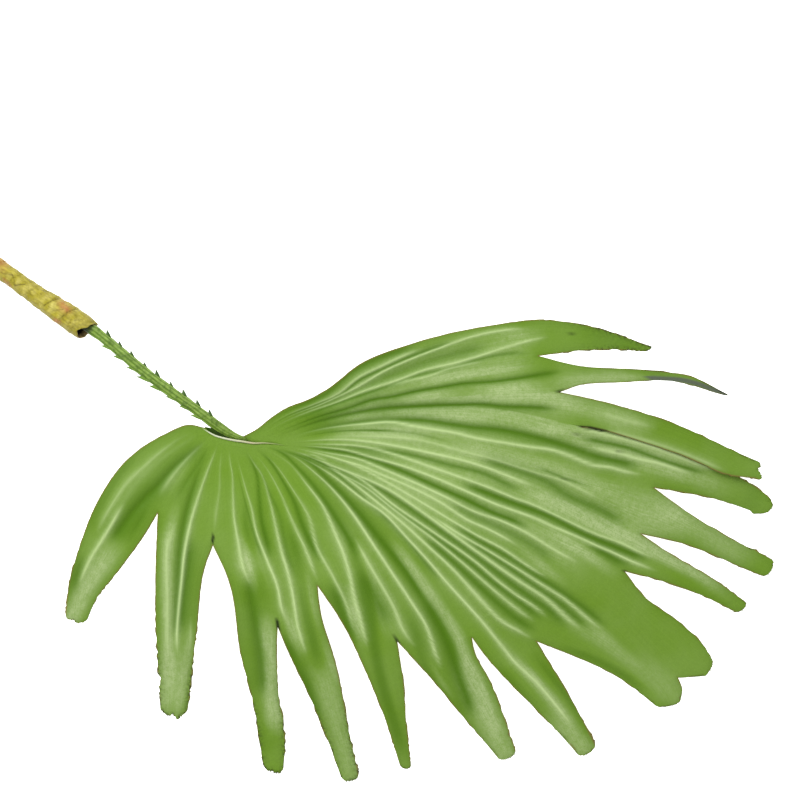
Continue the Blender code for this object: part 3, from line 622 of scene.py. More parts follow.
def finger_paint(f, across, plan):
    """Return the numbers that the skin reads, at every corner of a finger."""
    rows = ALONG[:, None]
    grown = ease(rows / PLEAT_START)
    opened = ease((np.linalg.norm(plan - HUB, axis=-1) - PALE_FROM) / PALE_OVER)
    flank = creased(plan, FLANKS, mesa, f)
    border = edge_distance(f, across, plan)
    ridge = np.clip(creased(plan, RIDGES, crest, f, RIDGE_SPREAD), 0, 1)
    ridge_sheen = np.clip(creased(plan, RIDGES, crest, f, SHEEN_SPREAD), 0, 1)
    valley = np.clip(creased(plan, VALLEYS, crest, f, VALLEY_SPREAD), 0, 1)
    around = creased(plan, VALLEYS, crest, f, SHADE_SPREAD)
    # Painted light: the crests get a painted highlight and their shoulders a painted sheen, the flanks a
    # painted sheen, the valleys and the ground around them painted shade, the free edges painted shade beside
    # the dried rim, the slits painted shadow among a few real specks, and one curled end a painted grey
    # shade. The dark specks at the frayed ends are real wear.
    return {
        "ridge": ridge * grown * (0.3 + 0.7 * opened),
        "valley": valley * grown * (0.7 + 0.3 * opened),
        "painted_sheen": np.clip(flank, 0, 1) * opened,
        "deep": np.clip(0.8 * around - flank, 0, 1) * grown,
        "ridge_sheen": ridge_sheen * grown * (0.35 + 0.65 * opened),
        "border": np.exp(-border / BORDER_WIDTH),
        "frayed": np.exp(-border / FRAY_WIDTH) * ease((rows - 0.72) / 0.2) * (f in FRAYED),
        "gap": np.clip(creased(plan, GAP_SHADOWS_AND_SPECKS, dot, f), 0, 1),
        "curl": np.clip(creased(plan, CURL, dot, f), 0, 1),
    }


def finger_surface(f, across):
    """Return the points and the paint of one finger, for its rows and its shares across."""
    rows = ALONG[:, None]
    tip = np.array(FINGERS[f][2], float)
    rounding = np.clip((rows - ROUND_FROM) / (1 - ROUND_FROM), 0, 1) ** 2
    bulge = tip - (LEFT[f][-1] + RIGHT[f][-1]) / 2
    plan = PLANS[f] + bulge * (rounding * (4 * across * (1 - across))[None] ** TIP_SQUARE)[..., None]
    end = droop(0, f)[:, None] * (1 - across) + droop(1, f)[:, None] * across
    fall = HUB_HEIGHT * (1 - rows**2) + end * rows**2 + 16 * ARCH * (rows * (1 - rows)) ** 2
    pleated = ease(rows / PLEAT_START) * (1 - TIP_FLATTENING * ease((rows - 0.5) * 2))
    bend = creased(plan, RIDGES, crest, f, PLEAT_SPREAD, True)
    bend = bend - creased(plan, VALLEYS, crest, f, PLEAT_SPREAD, True)
    height = fall + bend * PLEAT_DEPTH * pleated + overlapped(f, across)
    paints = finger_paint(f, across, plan)
    return np.dstack([ragged(f, plan), height]), paints


print("heights, mm: hub", HUB_HEIGHT, "and tips", [finger[3] for finger in FINGERS])

# %% [markdown]
# ## A grid for each finger
# A grid primitive has even rows and columns, so the rule above can say where each corner
# goes. Its UV map is kept and renamed: one axis runs along the finger, for the fibres.

# %% Grids for the fingers
def deselect():
    """Leave nothing selected, so that an operator acts on the new piece alone."""
    bpy.ops.object.select_all(action="DESELECT")


def add_finger(f):
    """Add a grid primitive and move its corners to one finger's surface."""
    deselect()
    bpy.ops.mesh.primitive_grid_add(x_subdivisions=COLUMNS[f], y_subdivisions=len(ALONG) - 1, size=1.0)
    grid = bpy.context.object
    grid.name = f"finger_{f + 1}"
    count = len(grid.data.vertices)
    corner = np.zeros(count * 3)
    grid.data.vertices.foreach_get("co", corner)
    corner = corner.reshape(-1, 3) + 0.5
    column = np.rint(corner[:, 0] * COLUMNS[f]).astype(int)
    row = np.rint(corner[:, 1] * (len(ALONG) - 1)).astype(int)
    across = np.linspace(0, 1, COLUMNS[f] + 1)
    points, paint = finger_surface(f, across)
    placed = (points[row, column] + LEAF_AT) * MM
    grid.data.vertices.foreach_set("co", placed.ravel())
    for name, values in paint.items():
        layer = grid.data.attributes.new(name, "FLOAT", "POINT")
        layer.data.foreach_set("value", values[row, column].astype(np.float32))
    fibre = grid.data.uv_layers[0]
    fibre.name = "fibre"
    loops = np.zeros(len(grid.data.loops), int)
    grid.data.loops.foreach_get("vertex_index", loops)
    strand = STRANDS[f] + across[column] * COLUMNS[f] / 100
    uv = np.stack([strand, ALONG[row]], axis=1)[loops]
    fibre.data.foreach_set("uv", uv.ravel())
    grid.data.update()
    return grid


STRANDS = np.cumsum([0] + COLUMNS[:-1]) / 100
fingers = [add_finger(f) for f in range(len(FINGERS))]
print("fingers:", len(fingers), "corners:", sum(len(g.data.vertices) for g in fingers))

# %% [markdown]
# ## One sheet with a thickness
# The grids are joined and the doubled corners along the shared lines are merged, so the
# fingers hang together up to their notches. Solidify then gives the sheet its thickness.

# %% Join, merge and thicken
BLADE_THICKNESS = 0.7


def join(objects, name):
    """Join objects into the first one and give it a name."""
    deselect()
    for part in objects:
        part.select_set(True)
    bpy.context.view_layer.objects.active = objects[0]
    bpy.ops.object.join()
    objects[0].name = name
    objects[0].data.name = name
    return objects[0]


def apply(piece, kind, **settings):
    """Add a modifier with these settings and apply it."""
    deselect()
    piece.select_set(True)
    bpy.context.view_layer.objects.active = piece
    modifier = piece.modifiers.new(kind.lower(), kind)
    for name, value in settings.items():
        setattr(modifier, name, value)
    bpy.ops.object.modifier_apply(modifier=modifier.name)


FINISHES = 3                # the upper skin, the underside and the cut edge

blade = join(fingers, "palm_blade")
bpy.ops.object.mode_set(mode="EDIT")
bpy.ops.mesh.select_all(action="SELECT")
bpy.ops.mesh.remove_doubles(threshold=1e-6)
bpy.ops.mesh.normals_make_consistent(inside=False)
bpy.ops.object.mode_set(mode="OBJECT")
if sum(face.normal.z for face in blade.data.polygons) < 0:
    blade.data.flip_normals()
for _finish in range(FINISHES):
    blade.data.materials.append(None)
apply(blade, "SOLIDIFY", thickness=BLADE_THICKNESS * MM, offset=-1.0, material_offset=1,
      material_offset_rim=2)
blade.data.polygons.foreach_set("use_smooth", [True] * len(blade.data.polygons))
print("blade:", len(blade.data.polygons), "faces")

# %% [markdown]
# ## Painting with nodes
# A finish is a small machine of nodes. A few helpers keep the wiring readable: one reads a
# number that the mesh carries, one makes noise, one stretches a number from one range to
# another, and one lays a colour over what is there already, as a painter lays a glaze.

# %% Helpers for materials
def linear(red, green, blue):
    """Turn screen colours from 0 to 255 into the linear numbers that shaders want."""
    shares = [value / 255 for value in (red, green, blue)]
    return (*[s / 12.92 if s <= 0.04045 else ((s + 0.055) / 1.055) ** 2.4 for s in shares], 1.0)


def new_finish(name, roughness, specular=0.5, **sockets):
    """Return a new material, its node tree and its Principled shader."""
    material = bpy.data.materials.new(name)
    material.use_nodes = True
    shader = material.node_tree.nodes["Principled BSDF"]
    shader.inputs["Roughness"].default_value = roughness
    shader.inputs["Specular IOR Level"].default_value = specular
    for socket, value in sockets.items():
        shader.inputs[socket.replace("_", " ")].default_value = value
    return material, material.node_tree, shader


def plug(tree, source, socket):
    """Link a node's output, or set a plain value, at an input socket."""
    if isinstance(source, bpy.types.NodeSocket):
        tree.links.new(source, socket)
    else:
        socket.default_value = source


def painted(tree, name):
    """Return the number that a piece carries at each corner under this name."""
    node = tree.nodes.new("ShaderNodeAttribute")
    node.attribute_name = name
    return node.outputs["Fac"]


def mixed(tree, amount, first, second):
    """Return a mix of two colours."""
    node = tree.nodes.new("ShaderNodeMix")
    node.data_type = "RGBA"
    plug(tree, amount, node.inputs["Factor"])
    plug(tree, first, node.inputs[6])
    plug(tree, second, node.inputs[7])
    return node.outputs[2]


def laid(tree, under, over, where, strength=1.0):
    """Lay a colour over another where a number says so, and at most this strongly."""
    return mixed(tree, maths(tree, "MULTIPLY", where, strength), under, over)


def stretched(tree, value, low, high, to_low=0.0, to_high=1.0):
    """Stretch a number's range to another range, and clamp it there."""
    node = tree.nodes.new("ShaderNodeMapRange")
    plug(tree, value, node.inputs["Value"])
    for socket, number in zip(("From Min", "From Max", "To Min", "To Max"), (low, high, to_low, to_high)):
        node.inputs[socket].default_value = number
    return node.outputs["Result"]


def maths(tree, operation, first, second, third=0.5):
    """Return the result of a sum, product or the like."""
    node = tree.nodes.new("ShaderNodeMath")
    node.operation = operation
    for place, number in enumerate((first, second, third)):
        plug(tree, number, node.inputs[place])
    return node.outputs["Value"]


def noise(tree, where, scale, detail=3.0, stretch=(1.0, 1.0, 1.0), rough=0.5):
    """Return noise on Object coordinates, or on a UV map if its name is given."""
    if where == "object":
        source = tree.nodes.new("ShaderNodeTexCoord").outputs["Object"]
    else:
        uv = tree.nodes.new("ShaderNodeUVMap")
        uv.uv_map = where
        source = uv.outputs["UV"]
    mapping = tree.nodes.new("ShaderNodeMapping")
    mapping.inputs["Scale"].default_value = stretch
    texture = tree.nodes.new("ShaderNodeTexNoise")
    texture.inputs["Scale"].default_value = scale
    texture.inputs["Detail"].default_value = detail
    texture.inputs["Roughness"].default_value = rough
    tree.links.new(source, mapping.inputs["Vector"])
    tree.links.new(mapping.outputs["Vector"], texture.inputs["Vector"])
    return texture.outputs["Fac"]


def bumped(tree, shader, height, distance, strength=1.0, under=None):
    """Add relief too fine for the mesh to a shader, on top of another relief if one is given."""
    node = tree.nodes.new("ShaderNodeBump")
    node.inputs["Distance"].default_value = distance
    node.inputs["Strength"].default_value = strength
    plug(tree, height, node.inputs["Height"])
    if under is not None:
        tree.links.new(under, node.inputs["Normal"])
    tree.links.new(node.outputs["Normal"], shader.inputs["Normal"])
    return node.outputs["Normal"]


print("a middle grey of 128 is", round(linear(128, 128, 128)[0], 3), "as a linear number")


# %% [markdown]
# ## The leaf's skin
# The upper skin is satin green. Folds get painted shade at the bottom and a painted highlight on the crest,
# and fine fibres run along every finger. The fibre pattern uses a UV map in which one axis runs along the
# finger, so the fibres draw together at the hub as real ones do. The glazes go on from the bottom up: fibres,
# painted sheen, painted shade in the valleys, painted highlights on the ridges, the brown rim, and last the
# dark spots with the painted shadow in the slits. The underside is the same skin, paler.

# %% The blade's finish
# Besides the leaf's own greens, these colours paint light: the crest colour is a painted highlight, the pale
# green is also painted sheen, the deep, edge and curl colours are also painted shade, and the gap black is
# painted shadow in the slits.
MID_GREEN = linear(96, 128, 34)
DEEP_GREEN = linear(64, 98, 8)
CREST_HIGHLIGHT = linear(168, 188, 130)
PALE_GREEN_AND_SHEEN = linear(147, 165, 112)
EDGE_SHADE_GREEN = linear(64, 92, 14)
UNDER_GREEN = linear(120, 138, 84)
CUT_BROWN = linear(110, 84, 48)
CURL_SHADE_GREY = linear(78, 84, 74)
FRAY_DARK = linear(44, 52, 22)
GAP_BLACK = linear(14, 20, 6)


def leaf_skin(name, middle, deep, roughness):
    """Return the blade's skin from its middle and its deepest green, with painted highlight, sheen and shade
    glazed over it.
    """
    material, tree, shader = new_finish(name, roughness, specular=0.08)
    patches = stretched(tree, noise(tree, "object", 28.0, 4.0), 0.35, 0.65)
    grain = stretched(tree, noise(tree, "object", 1100.0, 3.0, rough=0.7), 0.3, 0.7)
    mottle = stretched(tree, noise(tree, "object", 330.0, 4.0, rough=0.65), 0.32, 0.68)
    fibre = stretched(tree, noise(tree, "fibre", 1.0, 2.0, (260.0, 3.0, 1.0)), 0.3, 0.7)
    streak = stretched(tree, noise(tree, "fibre", 1.0, 3.0, (90.0, 14.0, 1.0)), 0.3, 0.7)
    cross = stretched(tree, noise(tree, "fibre", 1.0, 2.0, (60.0, 300.0, 1.0)), 0.5, 0.72)
    # How strongly the painted sheen shows, broken up by streaks, grain and mottle.
    sheen_amount = maths(tree, "MULTIPLY_ADD", streak, 0.4, 0.55)
    for pattern, gain, base in ((grain, 0.4, 0.82), (mottle, 0.55, 0.74), (cross, -0.45, 1.06)):
        sheen_amount = maths(tree, "MULTIPLY", sheen_amount, maths(tree, "MULTIPLY_ADD", pattern, gain, base))
    colour = laid(tree, middle, PALE_GREEN_AND_SHEEN, patches, 0.14)
    colour = laid(tree, colour, deep, fibre, 0.18)
    colour = laid(tree, colour, deep, grain, 0.17)
    rim = stretched(tree, painted(tree, "border"), 0.62, 0.95)
    specks = stretched(tree, noise(tree, "object", 620.0, 3.0), 0.46, 0.6)
    # Glazes of painted light: deep green as painted shade in and around the valleys, pale green as painted
    # sheen on the flanks and on the crests' shoulders, a painted highlight on the crests, darker green as
    # painted shade along the free edges, grey as painted shade for the curled end, and near-black as painted
    # shadow in the slits. The brown rim, the frayed specks and the few dark specks are the leaf's own.
    glazes = (
        (deep, painted(tree, "deep"), 0.75),
        (PALE_GREEN_AND_SHEEN, painted(tree, "painted_sheen"), sheen_amount),
        (PALE_GREEN_AND_SHEEN, painted(tree, "ridge_sheen"), maths(tree, "MULTIPLY", sheen_amount, 0.55)),
        (deep, painted(tree, "valley"), 0.95),
        (CREST_HIGHLIGHT, painted(tree, "ridge"), 0.85),
        (EDGE_SHADE_GREEN, painted(tree, "border"), 0.45),
        (CUT_BROWN, rim, 0.75),
        (FRAY_DARK, painted(tree, "frayed"), specks),
        (CURL_SHADE_GREY, painted(tree, "curl"), 0.9),
        (GAP_BLACK, painted(tree, "gap"), 0.93),
    )
    for glaze, where, strength in glazes:
        colour = laid(tree, colour, glaze, where, strength)
    tree.links.new(colour, shader.inputs["Base Color"])
    gloss = stretched(tree, noise(tree, "object", 60.0, 3.0), 0.3, 0.7, roughness - 0.06, roughness + 0.06)
    tree.links.new(gloss, shader.inputs["Roughness"])
    fine = bumped(tree, shader, fibre, 0.00012, 0.5)
    bumped(tree, shader, mottle, 0.00018, 0.6, under=fine)
    return material


def cut_edge():
    """Return the brownish green of the sheet's dried, cut edge."""
    material, tree, shader = new_finish("cut_edge", 0.7, specular=0.2)
    colour = mixed(tree, noise(tree, "object", 300.0, 3.0), CUT_BROWN, DEEP_GREEN)
    tree.links.new(colour, shader.inputs["Base Color"])
    return material


blade.data.materials[0] = leaf_skin("leaf_skin", MID_GREEN, DEEP_GREEN, 0.5)
blade.data.materials[1] = leaf_skin("leaf_underside", UNDER_GREEN, MID_GREEN, 0.6)
blade.data.materials[2] = cut_edge()
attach(blade, "root")
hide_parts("blade")
print("the blade's finishes:", [finish.name for finish in blade.data.materials])

# %% [markdown]
# ## The stalk
# The petiole is a firm green rod with lengthwise ribs that dives under the blade at the hub.
# It starts as a cylinder primitive that is cut into rings, and each ring takes its place,
# size and ribs from the stalk's measures. A curve with a bevel would give the same rod, but
# not the ribs or the flattening towards the hub.

# %% The stalk's measures and shape
STALK = np.array([   # x, y, width, height of the section, height of its middle
    (-191.5, -2.6, 6.0, 6.0, 5.5), (-150.0, -2.4, 6.2, 6.0, 6.3), (-126.0, -0.8, 6.6, 6.0, 6.9),
    (-112.0, 0.5, 6.8, 6.0, 8.2), (-100.0, 0.2, 6.6, 5.8, 9.8), (-88.0, -0.6, 6.5, 5.7, 11.5),
    (-72.0, -1.6, 6.7, 5.6, 13.8), (-58.0, -1.9, 6.6, 5.2, 16.0), (-43.0, -1.7, 6.5, 4.8, 18.2),
    (-24.0, -1.7, 6.3, 4.2, 20.6), (-11.0, -1.8, 6.0, 3.2, 21.5), (-4.0, -1.0, 4.6, 2.8, 21.7),
    (2.0, 1.0, 2.8, 2.0, 21.8), (12.0, 5.4, 1.8, 1.4, 22.0), (24.0, 9.6, 1.2, 0.9, 22.2)])
STALK_SIDES = 56
STALK_RINGS = 130
STALK_RIBS = 9
RIB_TWIST = 1.2             # radians that the ribs turn over the stalk's length
RIB_DEPTH = 0.1             # share of the stalk's half width
LINE_STEPS = 200            # steps in which a table of measures is read
KNOBS = 0.22                # mm, unevenness of the rod
SHADE_FROM = -109.5         # the stalk is painted dark as the sleeve's shadow from here inside its mouth, mm
SHADE_OVER = 3.0


def edit(piece, kind, wanted):
    """Open a piece in edit mode with the edges or faces selected for which wanted says yes."""
    deselect()
    piece.select_set(True)
    bpy.context.view_layer.objects.active = piece
    bpy.ops.object.mode_set(mode="EDIT")
    bpy.ops.mesh.select_mode(type=kind)
    bpy.ops.mesh.select_all(action="DESELECT")
    bpy.ops.object.mode_set(mode="OBJECT")
    for part in piece.data.edges if kind == "EDGE" else piece.data.polygons:
        part.select = wanted(part, [piece.data.vertices[v].co for v in part.vertices])
    bpy.ops.object.mode_set(mode="EDIT")


def tube(name, sides, rings):
    """Add a cylinder primitive along x, one long, with this many faces along it."""
    deselect()
    bpy.ops.mesh.primitive_cylinder_add(vertices=sides, radius=1.0, depth=1.0, location=(0.5, 0, 0),
                                        rotation=(0, math.pi / 2, 0))
    piece = bpy.context.object
    piece.name = piece.data.name = name
    bpy.ops.object.transform_apply(location=True, rotation=True)
    edit(piece, "EDGE", lambda edge, ends: abs(ends[0].x - ends[1].x) > 0.5)
    bpy.ops.mesh.subdivide(number_cuts=rings - 1)
    bpy.ops.object.mode_set(mode="OBJECT")
    return piece


def corners(piece):
    """Return a piece's corners as rows of x, y and z."""
    places = np.zeros(len(piece.data.vertices) * 3)
    piece.data.vertices.foreach_get("co", places)
    return places.reshape(-1, 3)


def place_corners(piece, millimetres):
    """Move a piece's corners to places in the leaf's frame."""
    piece.data.vertices.foreach_set("co", ((millimetres + LEAF_AT) * MM).ravel())
    piece.data.update()


def paint(piece, name, values):
    """Give a piece a number at each corner."""
    layer = piece.data.attributes.new(name, "FLOAT", "POINT")
    layer.data.foreach_set("value", np.asarray(values, np.float32))


def finished(piece, node=None):
    """Smooth a piece, let it ride, and hide the CAD node that it stands for."""
    piece.data.polygons.foreach_set("use_smooth", [True] * len(piece.data.polygons))
    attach(piece, "root")
    if node:
        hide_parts(node)
    print(piece.name, "-", len(piece.data.polygons), "faces")


def waves(seed, count, along, around, low, high, lobes):
    """Add up random ripples that run along and round a tube and meet without a step."""
    dice = np.random.default_rng(seed)
    total = np.zeros_like(along)
    for _wave in range(count):
        rate = dice.uniform(low, high) * dice.choice((-1, 1))
        turns = dice.integers(0, lobes + 1)
        total += dice.uniform(0.4, 1.0) * np.sin(rate * along + turns * around + dice.uniform(0, 6.28))
    return total / math.sqrt(count)


def stalk_at(share):
    """Return the stalk's x, y, width, height and middle height at shares of its length."""
    line = curve(STALK, LINE_STEPS)
    return [np.interp(share, np.linspace(0, 1, len(line)), line[:, column]) for column in range(5)]


def make_stalk():
    """Shape the stalk, with its ribs, and paint how deep each corner lies in a groove."""
    stalk = tube("stalk", STALK_SIDES, STALK_RINGS)
    along, y, z = corners(stalk).T
    angle = np.arctan2(z, y)
    x, middle_y, width, tall, middle_z = stalk_at(along)
    ribs = 1 - RIB_DEPTH * (1 - np.abs(np.cos(STALK_RIBS * angle / 2 + RIB_TWIST * along)))
    knob = KNOBS * waves(3, 14, x, angle, 0.15, 0.8, 3) * np.minimum(width / 6, 1)
    place_corners(stalk, np.stack([x, middle_y + (width / 2 * ribs + knob) * np.cos(angle),
                                   middle_z + (tall / 2 * ribs + knob) * np.sin(angle)], axis=1))
    paint(stalk, "groove", (1 - ribs) / RIB_DEPTH)
    # The side towards the lamp, for a painted highlight.
    paint(stalk, "upper_side", 0.5 + 0.5 * np.cos(angle))
    # Where the sleeve's shadow is painted on the stalk.
    paint(stalk, "sleeve_shadow", ease((SHADE_FROM - x) / SHADE_OVER))
    return stalk


stalk = make_stalk()
print("stalk:", STALK_SIDES, "sides and", STALK_RINGS, "rings")

# %% [markdown]
# ## The thorns
# Small dark hooks stand along the stalk's upper edge, and long, flat, saw-like teeth along
# its lower edge. One thorn is modelled from a cone primitive, and every other is a copy with
# a mesh of its own, leaned, stretched along the stalk and set on the stalk's surface.

# %% Thorns
THORN_ROWS = [      # side, first x, count, spacing, stretch along the stalk, size, sunk by
    (1, -100.2, 9, 9.8, 1.0, 1.1, 1.2),
    (-1, -96.0, 8, 9.9, 2.4, 0.8, 0.9),
]
THORN_LENGTH = 4.0
THORN_ROOT = 1.7            # half the thorn's width where it stands on the stalk
THORN_POINT = 0.12
THORN_HOOK = 0.8
THORN_LEAN = math.radians(34)


def thorn_model():
    """Model one thorn along z: a small cone that hooks over at its point."""
    deselect()
    bpy.ops.mesh.primitive_cone_add(vertices=10, radius1=THORN_ROOT * MM, radius2=THORN_POINT * MM,
                                    depth=THORN_LENGTH * MM, location=(0, 0, THORN_LENGTH / 2 * MM))
    thorn = bpy.context.object
    bpy.ops.object.transform_apply(location=True)
    edit(thorn, "EDGE", lambda edge, ends: abs(ends[0].z - ends[1].z) > MM)
    bpy.ops.mesh.subdivide(number_cuts=4)
    bpy.ops.object.mode_set(mode="OBJECT")
    shares = []
    for vert in thorn.data.vertices:
        share = vert.co.z / (THORN_LENGTH * MM)
        vert.co.x += THORN_HOOK * MM * share**2
        vert.co.y *= 0.7
        shares.append(share)
    paint(thorn, "point", shares)
    return thorn


def make_thorns():
    """Set copies of the thorn along both edges of the stalk."""
    model = thorn_model()
    thorns = []
    dice = np.random.default_rng(5)
    line = curve(STALK, LINE_STEPS)
    for side, first, count, spacing, stretch, size, sunk in THORN_ROWS:
        for number in range(count):
            x = first + spacing * number + dice.uniform(-0.6, 0.6)
            y, width, middle = [np.interp(x, line[:, 0], line[:, column]) for column in (1, 2, 4)]
            grown = size * dice.uniform(0.85, 1.12)
            out = Vector((-math.sin(THORN_LEAN), side * math.cos(THORN_LEAN), 0.1)).normalized()
            back = Vector((-math.cos(THORN_LEAN), -side * math.sin(THORN_LEAN), 0))
            turn = Matrix((back, out.cross(back), out)).transposed().to_4x4()
            root = Vector((x, y + side * (width / 2 - sunk), middle)) + Vector(LEAF_AT)
            shape = Matrix.Diagonal((stretch, 1, 1, 1)) @ turn @ Matrix.Diagonal((grown, grown, grown, 1))
            deselect()
            copy = model.copy()
            copy.data = model.data.copy()
            bpy.context.scene.collection.objects.link(copy)
            copy.data.transform(Matrix.Translation(root * MM) @ shape)
            paint(copy, "upper_side", [(1 + side) / 2] * len(copy.data.vertices))
            thorns.append(copy)
    bpy.data.objects.remove(model)
    piece = join(thorns, "thorns")
    bpy.ops.object.mode_set(mode="EDIT")
    bpy.ops.mesh.select_all(action="SELECT")
    bpy.ops.mesh.normals_make_consistent(inside=False)
    bpy.ops.object.mode_set(mode="OBJECT")
    return piece


thorns = make_thorns()
print("thorns:", sum(row[2] for row in THORN_ROWS))

# %% [markdown]
# ## The pale lip and the web at the hub
# Where the stalk meets the blade, the lower lobe's rim is a thin, pale, rounded lip, and a fold of skin under
# it, painted near-black as shade, closes the gap to the stalk. Both are thin tubes that follow a line, the
# way a maker would lay a cord along an edge.

# %% The lip and the web
LIP = np.array([    # x, y, width, height of the section, height of its middle
    (-22.0, -8.3, 0.6, 0.6, 23.7), (-18.0, -8.0, 0.8, 0.8, 23.9), (-13.0, -7.4, 1.0, 0.9, 24.1),
    (-8.0, -5.7, 1.1, 1.0, 24.15), (-3.0, -3.5, 1.2, 1.1, 24.2), (3.0, -0.4, 1.2, 1.1, 24.25),
    (9.0, 2.8, 1.1, 1.0, 24.2), (14.0, 6.6, 0.8, 0.9, 24.15), (19.0, 9.6, 0.6, 0.6, 24.15),
    (26.0, 13.2, 0.4, 0.4, 23.95)])
WEB = np.array([
    (-20.5, -7.0, 0.8, 0.6, 22.4), (-16.0, -6.2, 3.0, 0.8, 21.8), (-10.0, -5.2, 3.6, 0.8, 21.6),
    (-3.0, -2.6, 3.4, 0.8, 21.6), (4.0, 0.8, 3.6, 0.8, 21.8), (9.5, 3.0, 3.6, 0.8, 22.0),
    (15.0, 6.4, 1.8, 0.6, 22.2)])


def cord_along(name, table, sides, rings):
    """Lay an oval tube along a line of measures."""
    piece = tube(name, sides, rings)
    along, y, z = corners(piece).T
    angle = np.arctan2(z, y)
    line = curve(table, LINE_STEPS)
    share = np.linspace(0, 1, len(line))
    run = np.gradient(line[:, :2], axis=0)
    run = run / np.linalg.norm(run, axis=1)[:, None]
    x, middle_y, width, tall, middle_z, run_x, run_y = [
        np.interp(along, share, column) for column in (*line.T, *run.T)]
    outward = np.minimum(1, np.hypot(y, z))
    aside = width / 2 * np.cos(angle) * outward
    lift = tall / 2 * np.sin(angle) * outward
    place_corners(piece, np.stack([x - run_y * aside, middle_y + run_x * aside, middle_z + lift], axis=1))
    paint(piece, "along", along)
    return piece


lip = cord_along("hub_lip", LIP, 16, 60)
web = cord_along("hub_web", WEB, 12, 30)
print("lip:", round(length(LIP[:, :2]), 1), "mm long, web:", round(length(WEB[:, :2]), 1), "mm long")

# %% [markdown]
# ## Green rod, dark hooks, pale lip
# The stalk's ribs are told apart by colour as much as by relief, so its skin reads how deep each corner lies
# in a groove: the grooves get painted shade and the crowns a painted highlight. Its side towards the lamp is
# painted paler, and its part inside the sleeve's mouth is painted dark as shadow. The thorns read how near
# their point a corner is, and the lip reads how far along it a corner is, because it turns from white to pink
# to green.

# %% Finishes for the stalk, the thorns, the lip and the web
STALK_GREEN = linear(92, 124, 18)
STALK_HIGHLIGHT = linear(138, 160, 84)
STALK_DEEP = linear(46, 74, 4)
THORN_DARK = linear(34, 52, 22)
TOOTH_GREEN = linear(96, 128, 36)
LIP_PALE = linear(178, 184, 158)
LIP_PINK = linear(158, 148, 112)


def stalk_skin():
    """Return a satin green with painted shade in the grooves, painted highlights on the crowns and the greyer
    upper side, and painted shadow inside the sleeve.
    """
    material, tree, shader = new_finish("stalk_skin", 0.42, specular=0.2)
    streak = stretched(tree, noise(tree, "object", 1.0, 3.0, (50.0, 1300.0, 1300.0)), 0.35, 0.65)
    blotch = stretched(tree, noise(tree, "object", 260.0, 4.0, rough=0.7), 0.46, 0.66)
    crown_highlight = maths(tree, "MULTIPLY", stretched(tree, painted(tree, "groove"), 0.35, 0.0), 0.45)
    # Painted highlight: the upper side, towards the lamp, is paler and greyer.
    colour = laid(tree, STALK_GREEN, STALK_HIGHLIGHT, painted(tree, "upper_side"), 0.5)
    # Painted highlight on the crowns of the ribs.
    colour = mixed(tree, crown_highlight, colour, STALK_HIGHLIGHT)
    colour = laid(tree, colour, STALK_DEEP, streak, 0.4)
    colour = laid(tree, colour, STALK_DEEP, blotch, 0.7)
    # Painted shade in the grooves.
    groove = stretched(tree, painted(tree, "groove"), 0.45, 1.0)
    colour = laid(tree, colour, STALK_DEEP, groove, 0.85)
    # Painted shadow of the sleeve on the stalk inside its mouth.
    colour = laid(tree, colour, GAP_BLACK, painted(tree, "sleeve_shadow"), 0.9)
    tree.links.new(colour, shader.inputs["Base Color"])
    fine = bumped(tree, shader, streak, 0.0002, 0.6)
    bumped(tree, shader, blotch, 0.0003, 0.6, under=fine)
    return material


def thorn_skin():
    """Return dark thorns above and paler green teeth below, both darker at the point."""
    material, tree, shader = new_finish("thorn_skin", 0.5, specular=0.3)
    foot = mixed(tree, painted(tree, "upper_side"), TOOTH_GREEN, STALK_DEEP)
    tip = mixed(tree, painted(tree, "upper_side"), STALK_DEEP, THORN_DARK)
    worn = stretched(tree, noise(tree, "object", 500.0, 3.0), 0.3, 0.7)
    point = maths(tree, "MULTIPLY", stretched(tree, painted(tree, "point"), 0.25, 0.8), worn)
    tree.links.new(mixed(tree, point, foot, tip), shader.inputs["Base Color"])
    bumped(tree, shader, worn, 0.0002, 0.5)
    return material


def lip_skin():
    """Return a pale, slightly pink skin that turns green where the lip runs out."""
    material, tree, shader = new_finish("hub_lip", 0.55, specular=0.25)
    speckle = stretched(tree, noise(tree, "object", 420.0, 4.0), 0.3, 0.7)
    blush = maths(tree, "MULTIPLY", stretched(tree, painted(tree, "along"), 0.25, 0.6), 0.8)
    colour = mixed(tree, blush, LIP_PALE, LIP_PINK)
    colour = laid(tree, colour, PALE_GREEN_AND_SHEEN, speckle, 0.3)
    colour = mixed(tree, stretched(tree, painted(tree, "along"), 0.6, 0.98), colour, MID_GREEN)
    colour = mixed(tree, stretched(tree, painted(tree, "along"), 0.1, 0.0), colour, MID_GREEN)
    tree.links.new(colour, shader.inputs["Base Color"])
    bumped(tree, shader, speckle, 0.0002, 0.5)
    return material


def web_skin():
    """Return near-black green: painted shade for a fold that little light reaches."""
    material, tree, shader = new_finish("hub_web", 0.7, specular=0.1)
    speckle = noise(tree, "object", 300.0, 3.0)
    tree.links.new(mixed(tree, speckle, GAP_BLACK, STALK_DEEP), shader.inputs["Base Color"])
    return material


for piece, finish in ((stalk, stalk_skin), (thorns, thorn_skin), (lip, lip_skin), (web, web_skin)):
    piece.data.materials.append(finish())
finished(stalk, "petiole")
finished(thorns)
finished(lip)
finished(web)

# %% [markdown]
# ## The sleeve
# The sheath is a dry, papery leaf base rolled round the stalk. It is a cylinder primitive again: open at its
# mouth, crumpled, with a step that winds round it where the outer turn's edge lies over the one below. Its
# upper lip is torn back, so its inside shows, painted dark as shade.

